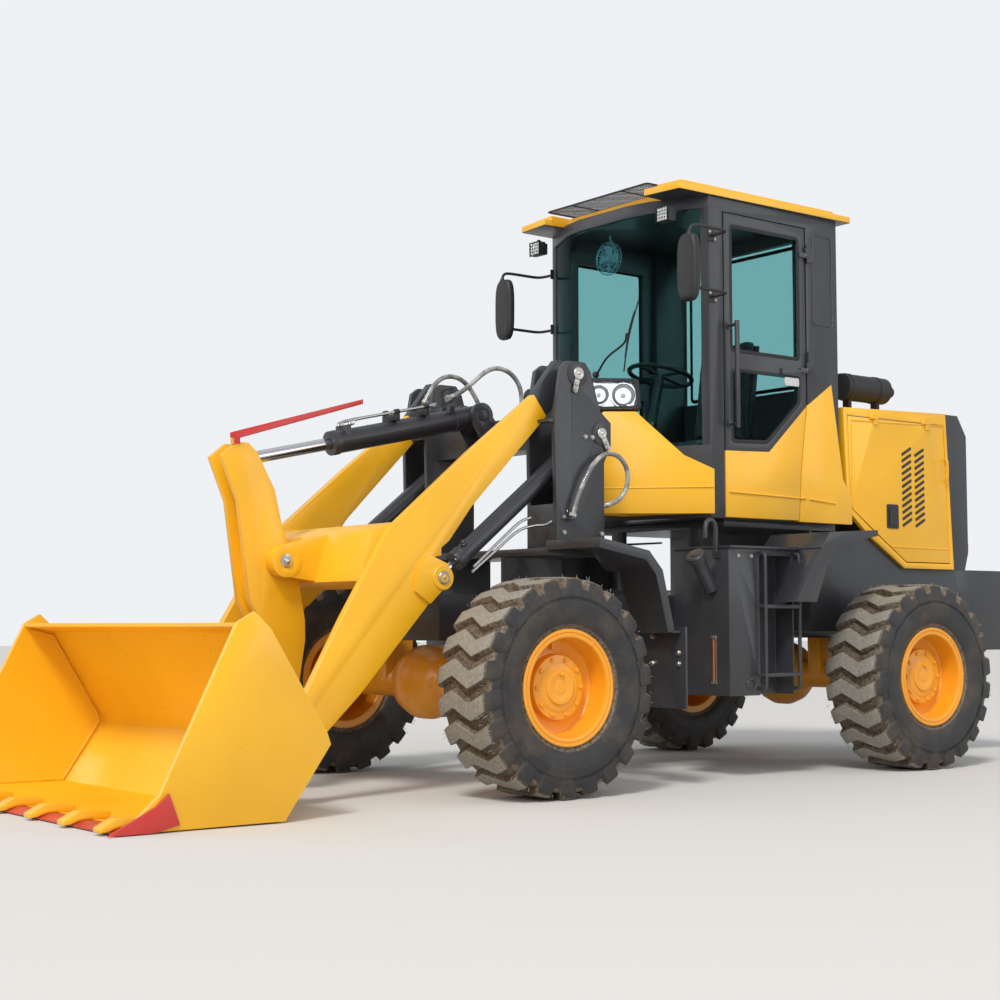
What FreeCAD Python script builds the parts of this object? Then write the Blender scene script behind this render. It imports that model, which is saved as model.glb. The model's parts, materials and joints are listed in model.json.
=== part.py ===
import FreeCAD, Part
import math
import os
import re
import Sketcher

# A small articulated wheel loader. Millimetres. X is the machine's left, forward is minus Y, up is plus Z.
# Side outlines are drawn about the pivot between the two frames; at the end every piece moves by the same
# step along Y, so that the origin lies on the ground under the middle of the machine.

sizes = {
    "wheel_base": 2767, "wheel_track": 1981, "front_reach": 3772, "rear_reach": 2950,
    "tyre_radius": 537.5, "tyre_section": 410, "tread_width": 372,
    "lug_depth": 35, "lug_count": 22, "lug_width": 88, "lug_step": 22, "tyre_wall": 28,
    "rim_seat_radius": 254, "rim_flange_radius": 285, "rim_flange": 10, "rim_width": 330, "rim_sheet": 12,
    "hub_radius": 160, "hub_cap_radius": 90, "hub_back": 60, "hub_face": 110, "hub_gap": 3,
    "disc_place": 30, "disc_plate": 14, "spindle_radius": 60, "spindle_end": 20, "fit_gap": 0.05,
    "axle_radius": 85, "axle_ball": 200, "axle_nose": 80, "axle_flange": 130, "pad_top": 760,
    "rail_inner": 300, "rail_outer": 335, "rail_top": 1000, "rear_wall": 200, "front_wall": 200,
    "wall_plate": 35, "pivot_pin": 45, "pivot_boss": 95, "lug_upper": 930, "lug_lower": 580,
    "lug_plate": 60, "fork_plate": 45, "fork_gap": 5, "frame_end": 2350, "skirt_outer": 600,
    "skirt_plate": 15, "skirt_front": 970, "skirt_low": 800, "skirt_high": 1390,
    "deck_top": 1440, "deck_plate": 40, "shelf_top": 1240, "tower_outer": 666, "tower_inner": 452,
    "tower_plate": 28, "arm_inner": 548, "arm_plate": 50, "ear_plate": 18, "ear_gap": 5,
    "boom_y": -924, "boom_z": 2161, "boom_pin": 40, "boom_boss": 75,
    "bucket_y": -2586, "bucket_z": 285, "bucket_pin": 35, "arm_end": 100,
    "rocker_y": -2360, "rocker_z": 1160, "rocker_pin": 35, "rocker_boss": 95, "rocker_half": 75,
    "rocker_cheek": 30, "rod_top_y": -2559, "rod_top_z": 1659, "tilt_base_y": -1092, "tilt_base_z": 1986,
    "tilt_barrel": 60, "tilt_rod": 32, "tilt_pin": 30, "tilt_length": 950,
    "lift_base_y": -762, "lift_base_z": 1855, "lift_eye_y": -1740, "lift_eye_z": 1076,
    "lift_barrel": 48, "lift_rod": 20, "lift_pin": 30, "lift_length": 1120, "lift_x": 573,
    "link_low_y": -2308, "link_low_z": 500, "link_far_y": -2709, "link_far_z": 467.5,
    "link_half": 36, "link_pin": 30, "link_pin_head": 62, "link_boss": 52,
    "bucket_half": 1135, "bucket_side": 25, "tooth_pitch": 350,
    "steer_x": 340, "steer_base_y": 600, "steer_rod_x": 360, "steer_rod_y": -260, "steer_z": 700,
    "steer_in": 300, "steer_out": 385, "steer_barrel": 32, "steer_rod": 18, "steer_pin": 20,
    "steer_length": 560,
    "cab_half": 690, "cab_sheet": 30, "pillar": 50, "cab_rear": 1140, "header_low": 3200,
    "roof_low": 3270, "roof_edge": 40, "roof_crown": 35, "glass": 8, "door_gap": 6, "door_hinge_y": 862,
    "hinge_play": 0.3, "lamp_foot": 2033, "hose_radius": 13,
    "hood_half": 620, "hood_sheet": 30, "hood_front": 1264, "hood_rear": 2250, "hood_top": 2160,
    "hood_hinge_z": 2112, "hood_low": 1190, "hood_foot": 1820, "hood_step": 1480, "slat_pitch": 64,
    "muffler_x": 300, "muffler_z": 2350, "muffler_radius": 85, "fender_sheet": 12, "fender_outer": 1120,
    "tank_inner": 520, "tank_outer": 950, "tank_top": 1266, "tank_low": 455, "tank_front": -70,
}

doc = FreeCAD.newDocument("WheelLoader")
sheet = doc.addObject("Spreadsheet::Sheet", "Sizes")
for row, (alias, number) in enumerate(sizes.items(), 1):
    sheet.set("A%d" % row, alias)
    sheet.set("B%d" % row, str(number))
    sheet.setAlias("B%d" % row, alias)
doc.recompute()

# The named spots that outlines and pins are measured from, as (Y, Z).
spots = {
    "boom": ("boom_y", "boom_z"),
    "bucket": ("bucket_y", "bucket_z"),
    "rocker": ("rocker_y", "rocker_z"),
    "rod_top": ("rod_top_y", "rod_top_z"),
    "tilt_base": ("tilt_base_y", "tilt_base_z"),
    "lift_base": ("lift_base_y", "lift_base_z"),
    "lift_eye": ("lift_eye_y", "lift_eye_z"),
    "link_low": ("link_low_y", "link_low_z"),
    "link_far": ("link_far_y", "link_far_z"),
}
nodes = []


def full(text):
    """Put the sheet's name before each size named in an expression."""
    def named(word):
        return "Sizes." + word.group(0) if word.group(0) in sizes else word.group(0)
    return re.sub(r"[a-z][a-z_]*", named, str(text))


def value(text):
    answer = sheet.evalExpression(full(text))
    return float(getattr(answer, "Value", answer))


def bind(piece, prop, text):
    piece.setExpression(prop, full(text))
    return piece


def at(spot, along, up):
    """A point of a side outline, measured from a named spot."""
    base_y, base_z = spots[spot]
    return ("%s + (%s)" % (base_y, along), "%s + (%s)" % (base_z, up))


views = {
    "side": (FreeCAD.Rotation(FreeCAD.Vector(1, 1, 1), 120), FreeCAD.Vector(1, 0, 0), "x"),
    "front": (FreeCAD.Rotation(FreeCAD.Vector(1, 0, 0), 90), FreeCAD.Vector(0, 1, 0), "y"),
    "plan": (FreeCAD.Rotation(), FreeCAD.Vector(0, 0, 1), "z"),
}


def outline(name, points, view="side", start="0"):
    """A closed outline of straight edges, each corner held by its two expressions."""
    sketch = doc.addObject("Sketcher::SketchObject", name)
    turn, normal, letter = views[view]
    sketch.Placement = FreeCAD.Placement(FreeCAD.Vector(), turn)
    bind(sketch, "Placement.Base." + letter, start)
    corners = [FreeCAD.Vector(value(u), value(v), 0) for u, v in points]
    count = len(corners)
    for i in range(count):
        sketch.addGeometry(Part.LineSegment(corners[i], corners[(i + 1) % count]))
    for i in range(count):
        sketch.addConstraint(Sketcher.Constraint("Coincident", i, 2, (i + 1) % count, 1))
    for i, (u, v) in enumerate(points):
        for kind, text, number in (("DistanceX", u, corners[i].x), ("DistanceY", v, corners[i].y)):
            index = sketch.addConstraint(Sketcher.Constraint(kind, -1, 1, i, 1, number))
            bind(sketch, "Constraints[%d]" % index, text)
    return sketch


def plate(name, points, start, end, view="side"):
    """A plate of the given outline, from start to end along the view's normal."""
    sheet_metal = doc.addObject("Part::Extrusion", name)
    sheet_metal.Base = outline(name + "_outline", points, view, start)
    sheet_metal.DirMode = "Custom"
    sheet_metal.Dir = views[view][1]
    sheet_metal.Solid = True
    return bind(sheet_metal, "LengthFwd", "(%s) - (%s)" % (end, start))


def box(name, across, along, up):
    """A block between two values on each axis."""
    block = doc.addObject("Part::Box", name)
    for letter, length, (low, high) in (("x", "Length", across), ("y", "Width", along), ("z", "Height", up)):
        bind(block, "Placement.Base." + letter, low)
        bind(block, length, "(%s) - (%s)" % (high, low))
    return block


turns = {
    "x": FreeCAD.Rotation(FreeCAD.Vector(0, 1, 0), 90),
    "y": FreeCAD.Rotation(FreeCAD.Vector(1, 0, 0), -90),
    "z": FreeCAD.Rotation(),
}


def bar(name, axis, radius, start, end, first, second):
    """A round bar along an axis, from start to end; first and second are its other two coordinates."""
    rod = doc.addObject("Part::Cylinder", name)
    rod.Placement = FreeCAD.Placement(FreeCAD.Vector(), turns[axis])
    letters = [letter for letter in "xyz" if letter != axis]
    bind(rod, "Placement.Base." + axis, start)
    bind(rod, "Placement.Base." + letters[0], first)
    bind(rod, "Placement.Base." + letters[1], second)
    bind(rod, "Radius", radius)
    return bind(rod, "Height", "(%s) - (%s)" % (end, start))


def pin(name, spot, radius, start, end):
    """A round bar across the machine at a named spot."""
    return bar(name, "x", radius, start, end, *spots[spot])


def fuse(name, *shapes):
    joined = doc.addObject("Part::MultiFuse", name)
    joined.Shapes = list(shapes)
    joined.Refine = True
    return joined


def cut(name, base, *tools):
    carved = doc.addObject("Part::Cut", name)
    carved.Base = base
    carved.Tool = tools[0] if len(tools) == 1 else fuse(name + "_tools", *tools)
    return carved


def group(name, *shapes):
    together = doc.addObject("Part::Compound", name)
    together.Links = list(shapes)
    return together


def mirror(name, shape):
    """The same shape on the machine's other side."""
    other = doc.addObject("Part::Mirroring", name)
    other.Source = shape
    other.Normal = FreeCAD.Vector(1, 0, 0)
    return other


def pair(name, shape):
    return group(name, shape, mirror(name + "_right", shape))


def turned(name, profile):
    """A solid turned about the X axis from a closed half section (x, radius)."""
    solid = doc.addObject("Part::Revolution", name)
    solid.Source = outline(name + "_section", profile, "front")
    solid.Axis = FreeCAD.Vector(1, 0, 0)
    solid.Base = FreeCAD.Vector(0, 0, 0)
    solid.Angle = 360
    solid.Solid = True
    return solid


def node(name, *shapes):
    """A finished piece: the step along Y brings the origin under the middle of the machine."""
    piece = group("Piece_" + name, *shapes)
    piece.Label = name
    bind(piece, "Placement.Base.y", "(front_reach - rear_reach) / 2")
    nodes.append(piece)
    return piece


# Wheels: hollow tyre on a flanged rim with a deep dish and a hub that runs on the axle's spindle.

def both_ways(half):
    """A full section across the wheel from one side's (offset, radius) points."""
    return half + [("-(%s)" % offset, radius) for offset, radius in reversed(half)]


tread_floor = "tyre_radius - lug_depth"
tyre_outside = [
    ("rim_width / 2", "rim_seat_radius"),
    ("rim_width / 2", "rim_flange_radius + 15"),
    ("tyre_section / 2 - 2", "tyre_radius - 147"),
    ("tread_width / 2 + 6", "tyre_radius - 84"),
    ("tread_width / 2 - 16", tread_floor),
]
tyre_inside = [
    ("rim_width / 2 - tyre_wall", "rim_seat_radius"),
    ("tyre_section / 2 - tyre_wall - 5", "tyre_radius - 98"),
]
lug_face = [("tread_width / 2 + 6", "tyre_radius - 84"), ("tread_width / 2 - 12", "tyre_radius")]
lug_line = [("-(tread_width / 2 + 20)", "-lug_step"), ("-tread_width / 6", "lug_step"),
            ("tread_width / 6", "-lug_step"), ("tread_width / 2 + 20", "lug_step")]
lug_edges = [(u, "%s - lug_width / 2" % v) for u, v in lug_line]
lug_edges += [(u, "%s + lug_width / 2" % v) for u, v in reversed(lug_line)]


def common(name, *shapes):
    shared = doc.addObject("Part::MultiCommon", name)
    shared.Shapes = list(shapes)
    return shared


# One flat sector of the tyre with its zigzag lug, repeated round the wheel; a lug stands on the ground.
sector = common(
    "TyreSector",
    plate("TyreSection", both_ways(tyre_outside) + list(reversed(both_ways(tyre_inside))),
          "-90", "90", "front"),
    plate("SectorWedge", [("0", "0"), ("-700 * tan(180 / lug_count)", "700"),
                          ("700 * tan(180 / lug_count)", "700")], "-300", "300"))
lug = common(
    "TyreLug",
    plate("LugPlan", lug_edges, "tyre_radius - 84", "tyre_radius", "plan"),
    plate("LugFace", both_ways(lug_face), "-90", "90", "front"))
sectors = []
for i in range(sizes["lug_count"]):
    for kind, form in (("Sector", sector), ("Lug", lug)):
        step = group("%s%d" % (kind, i), form)
        step.Placement.Rotation = FreeCAD.Rotation(FreeCAD.Vector(1, 0, 0), i * 360 / sizes["lug_count"])
        sectors.append(step)
tyre_form = fuse("TyreForm", *sectors)
rim_form = turned("RimForm", [
    ("rim_width / 2 + rim_flange", "rim_seat_radius - rim_sheet"),
    ("rim_width / 2 + rim_flange", "rim_flange_radius"),
    ("rim_width / 2", "rim_flange_radius"),
    ("rim_width / 2", "rim_seat_radius"),
    ("-rim_width / 2", "rim_seat_radius"),
    ("-rim_width / 2", "rim_flange_radius"),
    ("-rim_width / 2 - rim_flange", "rim_flange_radius"),
    ("-rim_width / 2 - rim_flange", "rim_seat_radius - rim_sheet"),
    ("disc_place", "rim_seat_radius - rim_sheet"),
    ("disc_place", "hub_radius"),
    ("-hub_back", "hub_radius"),
    ("-hub_back", "spindle_radius + fit_gap"),
    ("spindle_end", "spindle_radius + fit_gap"),
    ("spindle_end", "0"),
    ("hub_face", "0"),
    ("hub_face", "hub_cap_radius"),
    ("hub_face - 15", "hub_radius"),
    ("disc_place + disc_plate", "hub_radius"),
    ("disc_place + disc_plate", "rim_seat_radius - rim_sheet"),
])

# name, side (1 is the machine's left), axle place along Y
corners = [
    ("front_left", 1, "-wheel_base / 2"),
    ("front_right", -1, "-wheel_base / 2"),
    ("rear_left", 1, "wheel_base / 2"),
    ("rear_right", -1, "wheel_base / 2"),
]
for name, side, along in corners:
    for kind, form in (("tyre", tyre_form), ("rim", rim_form)):
        placed = group("%s_%s_placed" % (kind, name), form)
        placed.Placement.Rotation = FreeCAD.Rotation(FreeCAD.Vector(0, 0, 1), 0 if side > 0 else 180)
        bind(placed, "Placement.Base.x", "%d * wheel_track / 2" % side)
        bind(placed, "Placement.Base.y", along)
        bind(placed, "Placement.Base.z", "tyre_radius")
        node("%s_%s" % (kind, name), placed)


# Axles: tube, end flanges, spindles, differential ball with its nose toward the pivot, pads for the frame.

def axle(name, along, nose_end):
    reach = "(wheel_track / 2 - hub_back - hub_gap)"
    near, far = sorted((along, nose_end), key=value)
    steps = [math.radians(angle) for angle in range(0, 181, 20)]
    ball = group(name + "_ball", turned(name + "_ball_form", [
        ("%.4f * axle_ball" % -math.cos(step), "%.4f * axle_ball" % math.sin(step)) for step in steps]))
    bind(ball, "Placement.Base.y", along)
    bind(ball, "Placement.Base.z", "tyre_radius")
    spindle = "wheel_track / 2 + spindle_end - 1"
    flange = bar(name + "_flange", "x", "axle_flange", reach + " - 80", reach, along, "tyre_radius")
    pad = box(name + "_pad", ("rail_inner - 20", "rail_outer + 45"), (along + " - 90", along + " + 90"),
              ("tyre_radius", "pad_top"))
    return fuse(
        name + "_form",
        bar(name + "_tube", "x", "axle_radius", "-" + reach, reach, along, "tyre_radius"),
        bar(name + "_spindle", "x", "spindle_radius", "-(%s)" % spindle, spindle, along, "tyre_radius"),
        ball,
        bar(name + "_nose", "y", "axle_nose", near, far, "0", "tyre_radius"),
        pair(name + "_flanges", flange),
        pair(name + "_pads", pad),
    )


node("front_axle", axle("FrontAxle", "-wheel_base / 2", "-wheel_base / 2 + 300"))
node("rear_axle", axle("RearAxle", "wheel_base / 2", "wheel_base / 2 - 300"))


# Pivot between the frames: two lugs behind, each between two fork plates in front, on vertical pins.

def pivot_tongue(name, wall, low, high):
    """A plate from a frame's wall to a round end about the pivot line."""
    corners_of_plate = [("-150", wall), ("150", wall), ("pivot_boss", "0"), ("-pivot_boss", "0")]
    return fuse(
        name,
        plate(name + "_web", corners_of_plate, low, high, "plan"),
        bar(name + "_boss", "z", "pivot_boss", low, high, "0", "0"),
    )


def frame_wall(name, near, far, low, high):
    """A wall across the frame, narrow below so that the steering cylinders pass beside it."""
    return fuse(
        name,
        box(name + "_upper", ("-rail_outer", "rail_outer"), (near, far), ("pad_top", high)),
        box(name + "_lower", ("-190", "190"), (near, far), (low, "pad_top")),
    )


def steer_bracket(name, along, back, reach):
    """Two plates over and under a steering cylinder's eye, joined behind it."""
    upper = ("steer_z + 40", "pad_top + 5")
    lower = ("steer_z - 65", "steer_z - 40")
    sides = ("steer_in", "steer_out")
    span = (along + " - 60", along + " + 60")
    return fuse(
        name,
        box(name + "_upper", sides, span, upper),
        box(name + "_lower", sides, span, lower),
        box(name + "_web", sides, (back, back + " + 15"), (lower[0], upper[1])),
        reach,
    )


# Rear frame: rails, pivot wall and lugs, deck under the cab, skirts beside the engine, brackets.
rear_rail = box("RearRail", ("rail_inner", "rail_outer"), ("rear_wall", "frame_end"), ("pad_top", "rail_top"))
skirt = plate("Skirt", [
    ("skirt_front", "skirt_low"), ("skirt_front", "skirt_high"), ("hood_step", "skirt_high"),
    ("hood_foot", "hood_low"), ("frame_end", "hood_low"), ("frame_end", "skirt_low"),
], "skirt_outer - skirt_plate", "skirt_outer")
rear_parts = [
    pair("RearRails", rear_rail),
    frame_wall("RearWall", "rear_wall", "rear_wall + wall_plate", "lug_lower - 20", "rail_top + 10"),
    pivot_tongue("UpperLug", "rear_wall", "lug_upper", "lug_upper + lug_plate"),
    pivot_tongue("LowerLug", "rear_wall", "lug_lower", "lug_lower + lug_plate"),
    pair("Skirts", skirt),
    box("SkirtPlateFront", ("-skirt_outer", "skirt_outer"), ("skirt_front", "skirt_front + skirt_plate"),
        ("skirt_low", "deck_top - deck_plate")),
    box("SkirtPlateRear", ("-skirt_outer", "skirt_outer"), ("frame_end - 30", "frame_end"),
        ("skirt_low", "hood_low")),
    box("Deck", ("-skirt_outer", "skirt_outer"), ("rear_wall + 50", "1200"),
        ("deck_top - deck_plate", "deck_top")),
    pair("DeckPosts", box("DeckPost", ("rail_inner", "rail_outer + 25"),
                          ("rear_wall + 50", "rear_wall + 120"), ("rail_top - 20", "deck_top - 20"))),
    pair("TankArms", box("TankArm", ("rail_inner", "tank_inner"), ("rear_wall + 90", "rear_wall + 125"),
                         ("pad_top", "rail_top"))),
    pair("SteerBrackets", steer_bracket(
        "SteerBracket", "steer_base_y", "steer_base_y + 45",
        box("SteerBracketPlate", ("rail_inner", "steer_out"), ("steer_base_y - 60", "steer_base_y + 60"),
            ("steer_z + 40", "pad_top + 5")))),
]
node("rear_frame", cut(
    "RearFrameForm", fuse("RearFrameSolid", *rear_parts),
    bar("PivotBore", "z", "pivot_pin + fit_gap", "lug_lower - 50", "lug_upper + lug_plate + 50", "0", "0"),
    pair("SteerBores", bar("SteerBore", "z", "steer_pin + fit_gap", "steer_z - 70", "steer_z + 70",
                           "steer_x", "steer_base_y")),
))
node("counterweight", plate("Counterweight", [
    ("frame_end", "hood_low"), ("rear_reach", "hood_low"), ("rear_reach", "hood_low - 470"),
    ("rear_reach - 80", "hood_low - 516"), ("rear_reach - 340", "hood_low - 516"),
    ("rear_reach - 450", "hood_low - 430"), ("frame_end", "skirt_low"),
], "-skirt_outer", "skirt_outer"))
node("engine_block", box("EngineBlock", ("-320", "320"), ("1300", "2100"), ("rail_top", "rail_top + 560")))

# Hood: hollow cover behind the cab with a top-hinged door on each side; its rear is closed by the grille.
hood_outside = [
    ("hood_front", "hood_top"), ("hood_rear", "hood_top + 30"), ("hood_rear + 60", "hood_low"),
    ("hood_foot", "hood_low"), ("hood_step", "skirt_high"), ("hood_front + 31", "1533"),
]
hood_hollow = [
    ("hood_front + hood_sheet", "hood_top - hood_sheet"),
    ("hood_rear + 150", "hood_top - hood_sheet + 34"),
    ("hood_rear + 150", "hood_low - 200"),
    ("hood_front + hood_sheet", "hood_low - 200"),
]


def hood_door_outline(gap):
    """The side door's outline, drawn in from the opening by a gap."""
    return [
        ("hood_front + 36 + %s" % gap, "hood_top - 45 - %s" % gap),
        ("hood_rear - 20 - %s" % gap, "hood_top - 45 - %s" % gap),
        ("hood_rear + 28 - %s" % gap, "hood_low + 35 + %s" % gap),
        ("hood_foot + 15 + %s" % gap, "hood_low + 35 + %s" % gap),
        ("hood_step + 30 + %s" % gap, "skirt_high + 35 + %s" % gap),
        ("hood_front + 56 + %s" % gap, "1550 + %s" % gap),
    ]


def hood_knuckles(name, starts, low, high):
    """Half of each top hinge: a leaf on the hood's side and a knuckle on the hinge line."""
    pieces = []
    for along in starts:
        span = ("%d" % along, "%d - hinge_play" % (along + 40))
        pieces += [
            box("%sLeaf%d" % (name, along), ("hood_half - 5", "hood_half + 11"), span, (low, high)),
            bar("%sKnuckle%d" % (name, along), "y", "8", span[0], span[1], "hood_half + 8.3", "hood_hinge_z"),
        ]
    return pieces


hood_shell = cut(
    "HoodShell", plate("HoodSolid", hood_outside, "-hood_half", "hood_half"),
    plate("HoodHollow", hood_hollow, "-(hood_half - hood_sheet)", "hood_half - hood_sheet"),
    plate("HoodOpenings", hood_door_outline("0"), "-hood_half - 20", "hood_half + 20"))
hood_fixed = fuse("HoodFixedHinges", *hood_knuckles("Fixed", (1500, 2000), "hood_hinge_z", "hood_top - 20"))
node("hood", fuse("HoodForm", hood_shell, pair("HoodHinges", hood_fixed)))
hood_door = fuse("HoodDoor", plate("HoodDoorPlate", hood_door_outline("door_gap"),
                                   "hood_half - hood_sheet", "hood_half"),
                 *hood_knuckles("Door", (1540, 2040), "hood_hinge_z - 40", "hood_hinge_z"))
node("hood_door_left", hood_door)
node("hood_door_right", mirror("HoodDoorRight", hood_door))
grille_solid = plate("GrilleSolid", [
    ("hood_rear", "hood_top + 30"), ("hood_rear + 150", "hood_top + 30"), ("hood_rear + 237", "hood_top - 100"),
    ("hood_rear + 237", "hood_low + 110"), ("hood_rear + 200", "hood_low"), ("hood_rear + 60", "hood_low"),
], "-skirt_outer", "skirt_outer")
grille_opening = box("GrilleOpening", ("-520", "520"), ("hood_rear - 50", "hood_rear + 300"),
                     ("hood_low + 70", "hood_top - 40"))
slats = [
    box("Slat%d" % i, ("-530", "530"), ("hood_rear + 175", "hood_rear + 195"),
        ("hood_low + 70 + %d * slat_pitch" % i, "hood_low + 84 + %d * slat_pitch" % i))
    for i in range(1, 14)
]
node("rear_grille", fuse("GrilleForm", cut("GrilleFrame", grille_solid, grille_opening), *slats))


def muffler_foot(name, along):
    """A foot from the sloping hood top up into the muffler."""
    ends = [("%d" % (along + step), "hood_top + (%d - hood_front) * 30 / (hood_rear - hood_front)"
             % (along + step)) for step in (0, 30)]
    return plate(name, ends + [(ends[1][0], "muffler_z"), (ends[0][0], "muffler_z")],
                 "muffler_x - 25", "muffler_x + 25")


node("muffler", fuse(
    "MufflerForm",
    bar("MufflerDrum", "y", "muffler_radius", "1610", "2020", "muffler_x", "muffler_z"),
    bar("MufflerPipe", "y", "35", "2000", "2100", "muffler_x", "muffler_z"),
    muffler_foot("MufflerFootFront", 1660), muffler_foot("MufflerFootRear", 1930),
))


# Cab: floor, lower front wall bowed in plan, pillars, header, rear wall; yellow panels outside; windows.
front_corner = ("cab_half", "60")
bow = [front_corner, ("371", "-97"), ("209", "-128"), ("-209", "-128"), ("-371", "-97"), ("-cab_half", "60")]


def bowed_wall(name, depth, start, low, high, end=front_corner):
    """A wall that follows the bowed front in plan, from start to start + depth behind it."""
    line = [end] + bow[1:-1] + [("-(%s)" % end[0], end[1])]
    outer = [(u, "%s + %s" % (v, start)) for u, v in line]
    inner = [(u, "%s + %s" % (v, depth)) for u, v in reversed(outer)]
    return plate(name, outer + inner, low, high, "plan")


door_yellow = [("182", "deck_top + 6"), ("782", "deck_top + 6"), ("805", "1746"), ("856", "2123"),
               ("536", "1836"), ("182", "1824")]
door_frame = [("182", "1824"), ("536", "1836"), ("856", "2123"), ("856", "header_low - 12"),
              ("182", "header_low - 12")]
window_upper = [("235", "2400"), ("800", "2400"), ("800", "3120"), ("235", "3120")]
window_lower = [("235", "1880"), ("520", "1890"), ("800", "2142"), ("800", "2290"), ("235", "2290")]
side_yellow = [("170", "deck_top"), ("790", "deck_top"), ("813", "1746"), ("864", "2130"), ("536", "1836"),
               ("170", "1824")]
side_frame = [("170", "1824"), ("536", "1836"), ("864", "2130"), ("868", "2134"), ("868", "header_low"),
              ("170", "header_low")]
quarter = [("790", "deck_top"), ("813", "1746"), ("864", "2130"), ("1080", "2273"), ("1175", "1706"),
           ("1250", "1600"), ("1250", "deck_top")]
skin = ("cab_half - 45", "cab_half")
right_skin = ("-cab_half", "45 - cab_half")
door_windows = [
    plate("DoorWindowUpper", window_upper, "cab_half - 60", "cab_half + 20"),
    plate("DoorWindowLower", window_lower, "cab_half - 60", "cab_half + 20"),
]
side_windows = [
    plate("SideWindowUpper", window_upper, "-cab_half - 20", "60 - cab_half"),
    plate("SideWindowLower", window_lower, "-cab_half - 20", "60 - cab_half"),
]
pillar_front = plate("PillarFront", [
    front_corner, ("cab_half", "170"), ("cab_half - pillar", "170"), ("cab_half - pillar", "45"),
], "deck_top", "roof_low", "plan")
frame_knuckles = []
for level in (2350, 3040):
    span = ("%d" % level, "%d" % (level + 30))
    frame_knuckles += [
        box("FrameLeaf%d" % level, ("cab_half - 5", "cab_half + 14"), ("door_hinge_y", "905"), span),
        bar("FrameKnuckle%d" % level, "z", "9", span[0], span[1], "cab_half + 10", "door_hinge_y"),
    ]
column = cut("ColumnForm", box("Column", ("600", "cab_half"), ("868", "cab_rear"), ("deck_top", "roof_low")),
             plate("ColumnNotch", quarter, *skin))
node("cab_shell", cut("CabShell", fuse(
    "CabSolid",
    plate("Floor", [("-630", "1110"), ("-630", "40")] + [(u, "%s + 10" % v) for u, v in reversed(bow[1:-1])]
          + [("630", "40"), ("630", "1110")], "deck_top", "deck_top + 40", "plan"),
    bowed_wall("FrontWall", "cab_sheet", "0", "deck_top", "1850"),
    bowed_wall("Header", "cab_sheet + 20", "0", "header_low", "roof_low"),
    pair("Pillars", pillar_front),
    pair("Columns", column),
    pair("SideHeaders", box("SideHeader", ("cab_half - pillar", "cab_half"), ("90", "cab_rear"),
                            ("header_low - 6", "roof_low"))),
    box("RearHeader", ("-cab_half", "cab_half"), ("cab_rear - pillar", "cab_rear"),
        ("header_low - 6", "roof_low")),
    box("RearWall2", ("-610", "610"), ("cab_rear - cab_sheet", "cab_rear"), ("deck_top", "2273")),
    plate("SideFrame", side_frame, *right_skin),
    *frame_knuckles), *side_windows))


# The shoulders beside the bowed glass: hollow oblique wedges, each the common part of a plan outline
# and of an outline drawn on its outer face as (distance from the door, height).
shoulder_plan = [("720", "60"), ("335", "-430"), ("200", "-450"), ("200", "-128"), ("209", "-128"),
                 ("371", "-97"), ("cab_half", "60")]
shoulder_hollow = [("648", "9"), ("318", "-411"), ("225", "-421"), ("225", "-150"), ("375", "-121")]
shoulder_turn = FreeCAD.Rotation(FreeCAD.Vector(0, 0, 1), 231.8)


def shoulder_prism(name, plan, drop, low):
    """The wedge over a plan outline, its top lowered by a drop, from a low level up."""
    block = plate(name + "_plan", plan, low, "lamp_foot + 5", "plan")
    tops = [("-100", "1709"), ("0", "1709"), ("170", "1788"), ("438", "lamp_foot"), ("620", "lamp_foot"),
            ("700", "lamp_foot - 80"), ("900", "lamp_foot - 80")]
    face = [("-100", low)] + [(u, "%s - %s" % (v, drop)) for u, v in tops] + [("900", low)]
    prism = doc.addObject("Part::Extrusion", name + "_prism")
    prism.Base = outline(name + "_face", face, "front")
    prism.DirMode = "Custom"
    prism.Dir = FreeCAD.Vector(0, -1, 0)
    prism.Solid = True
    prism.LengthFwd = 900
    prism.Placement = FreeCAD.Placement(FreeCAD.Vector(720, 60, 0), shoulder_turn)
    wedge = doc.addObject("Part::MultiCommon", name)
    wedge.Shapes = [block, prism]
    return wedge


shoulder = cut("Shoulder", shoulder_prism("ShoulderOutside", shoulder_plan, "0", "1460"),
               shoulder_prism("ShoulderHollow", shoulder_hollow, "cab_sheet - 5", "1400"))
quarter_panel = plate("QuarterPanel", quarter, *skin)
node("cab_panels",
     pair("Shoulders", shoulder),
     quarter_panel,
     fuse("RightPanels", mirror("QuarterPanelRight", quarter_panel),
          plate("SidePanel", side_yellow, *right_skin)))
lock_bar = box("LockBar", ("cab_half", "cab_half + 14"), ("640", "800"), ("2295", "2335"))
door_knuckles = []
for level in (2320, 3010):
    span = ("%d" % level, "%d - hinge_play" % (level + 30))
    door_knuckles += [
        box("DoorLeaf%d" % level, ("cab_half - 5", "cab_half + 14"), ("800", "door_hinge_y"), span),
        bar("DoorKnuckle%d" % level, "z", "9", span[0], span[1], "cab_half + 10", "door_hinge_y"),
    ]
node("cab_door", fuse("DoorForm", cut("DoorFrame", plate("DoorSolid", door_frame, *skin), *door_windows),
                      lock_bar, *door_knuckles))
node("cab_door_panel", plate("DoorPanel", door_yellow, *skin))
glass_skin = ("cab_half - 27", "cab_half - 27 + glass")
node("cab_door_glass", plate("DoorGlassUpper", window_upper, *glass_skin),
     plate("DoorGlassLower", window_lower, *glass_skin))
node("cab_glass",
     bowed_wall("Windshield", "glass", "11", "1850", "header_low", ("cab_half - pillar", "36")),
     box("RearGlass", ("-600", "600"), ("cab_rear - 20", "cab_rear - 20 + glass"), ("2273", "header_low - 6")),
     mirror("SideGlassUpper", plate("SideGlassUpperLeft", window_upper, *glass_skin)),
     mirror("SideGlassLower", plate("SideGlassLowerLeft", window_lower, *glass_skin)))

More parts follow.
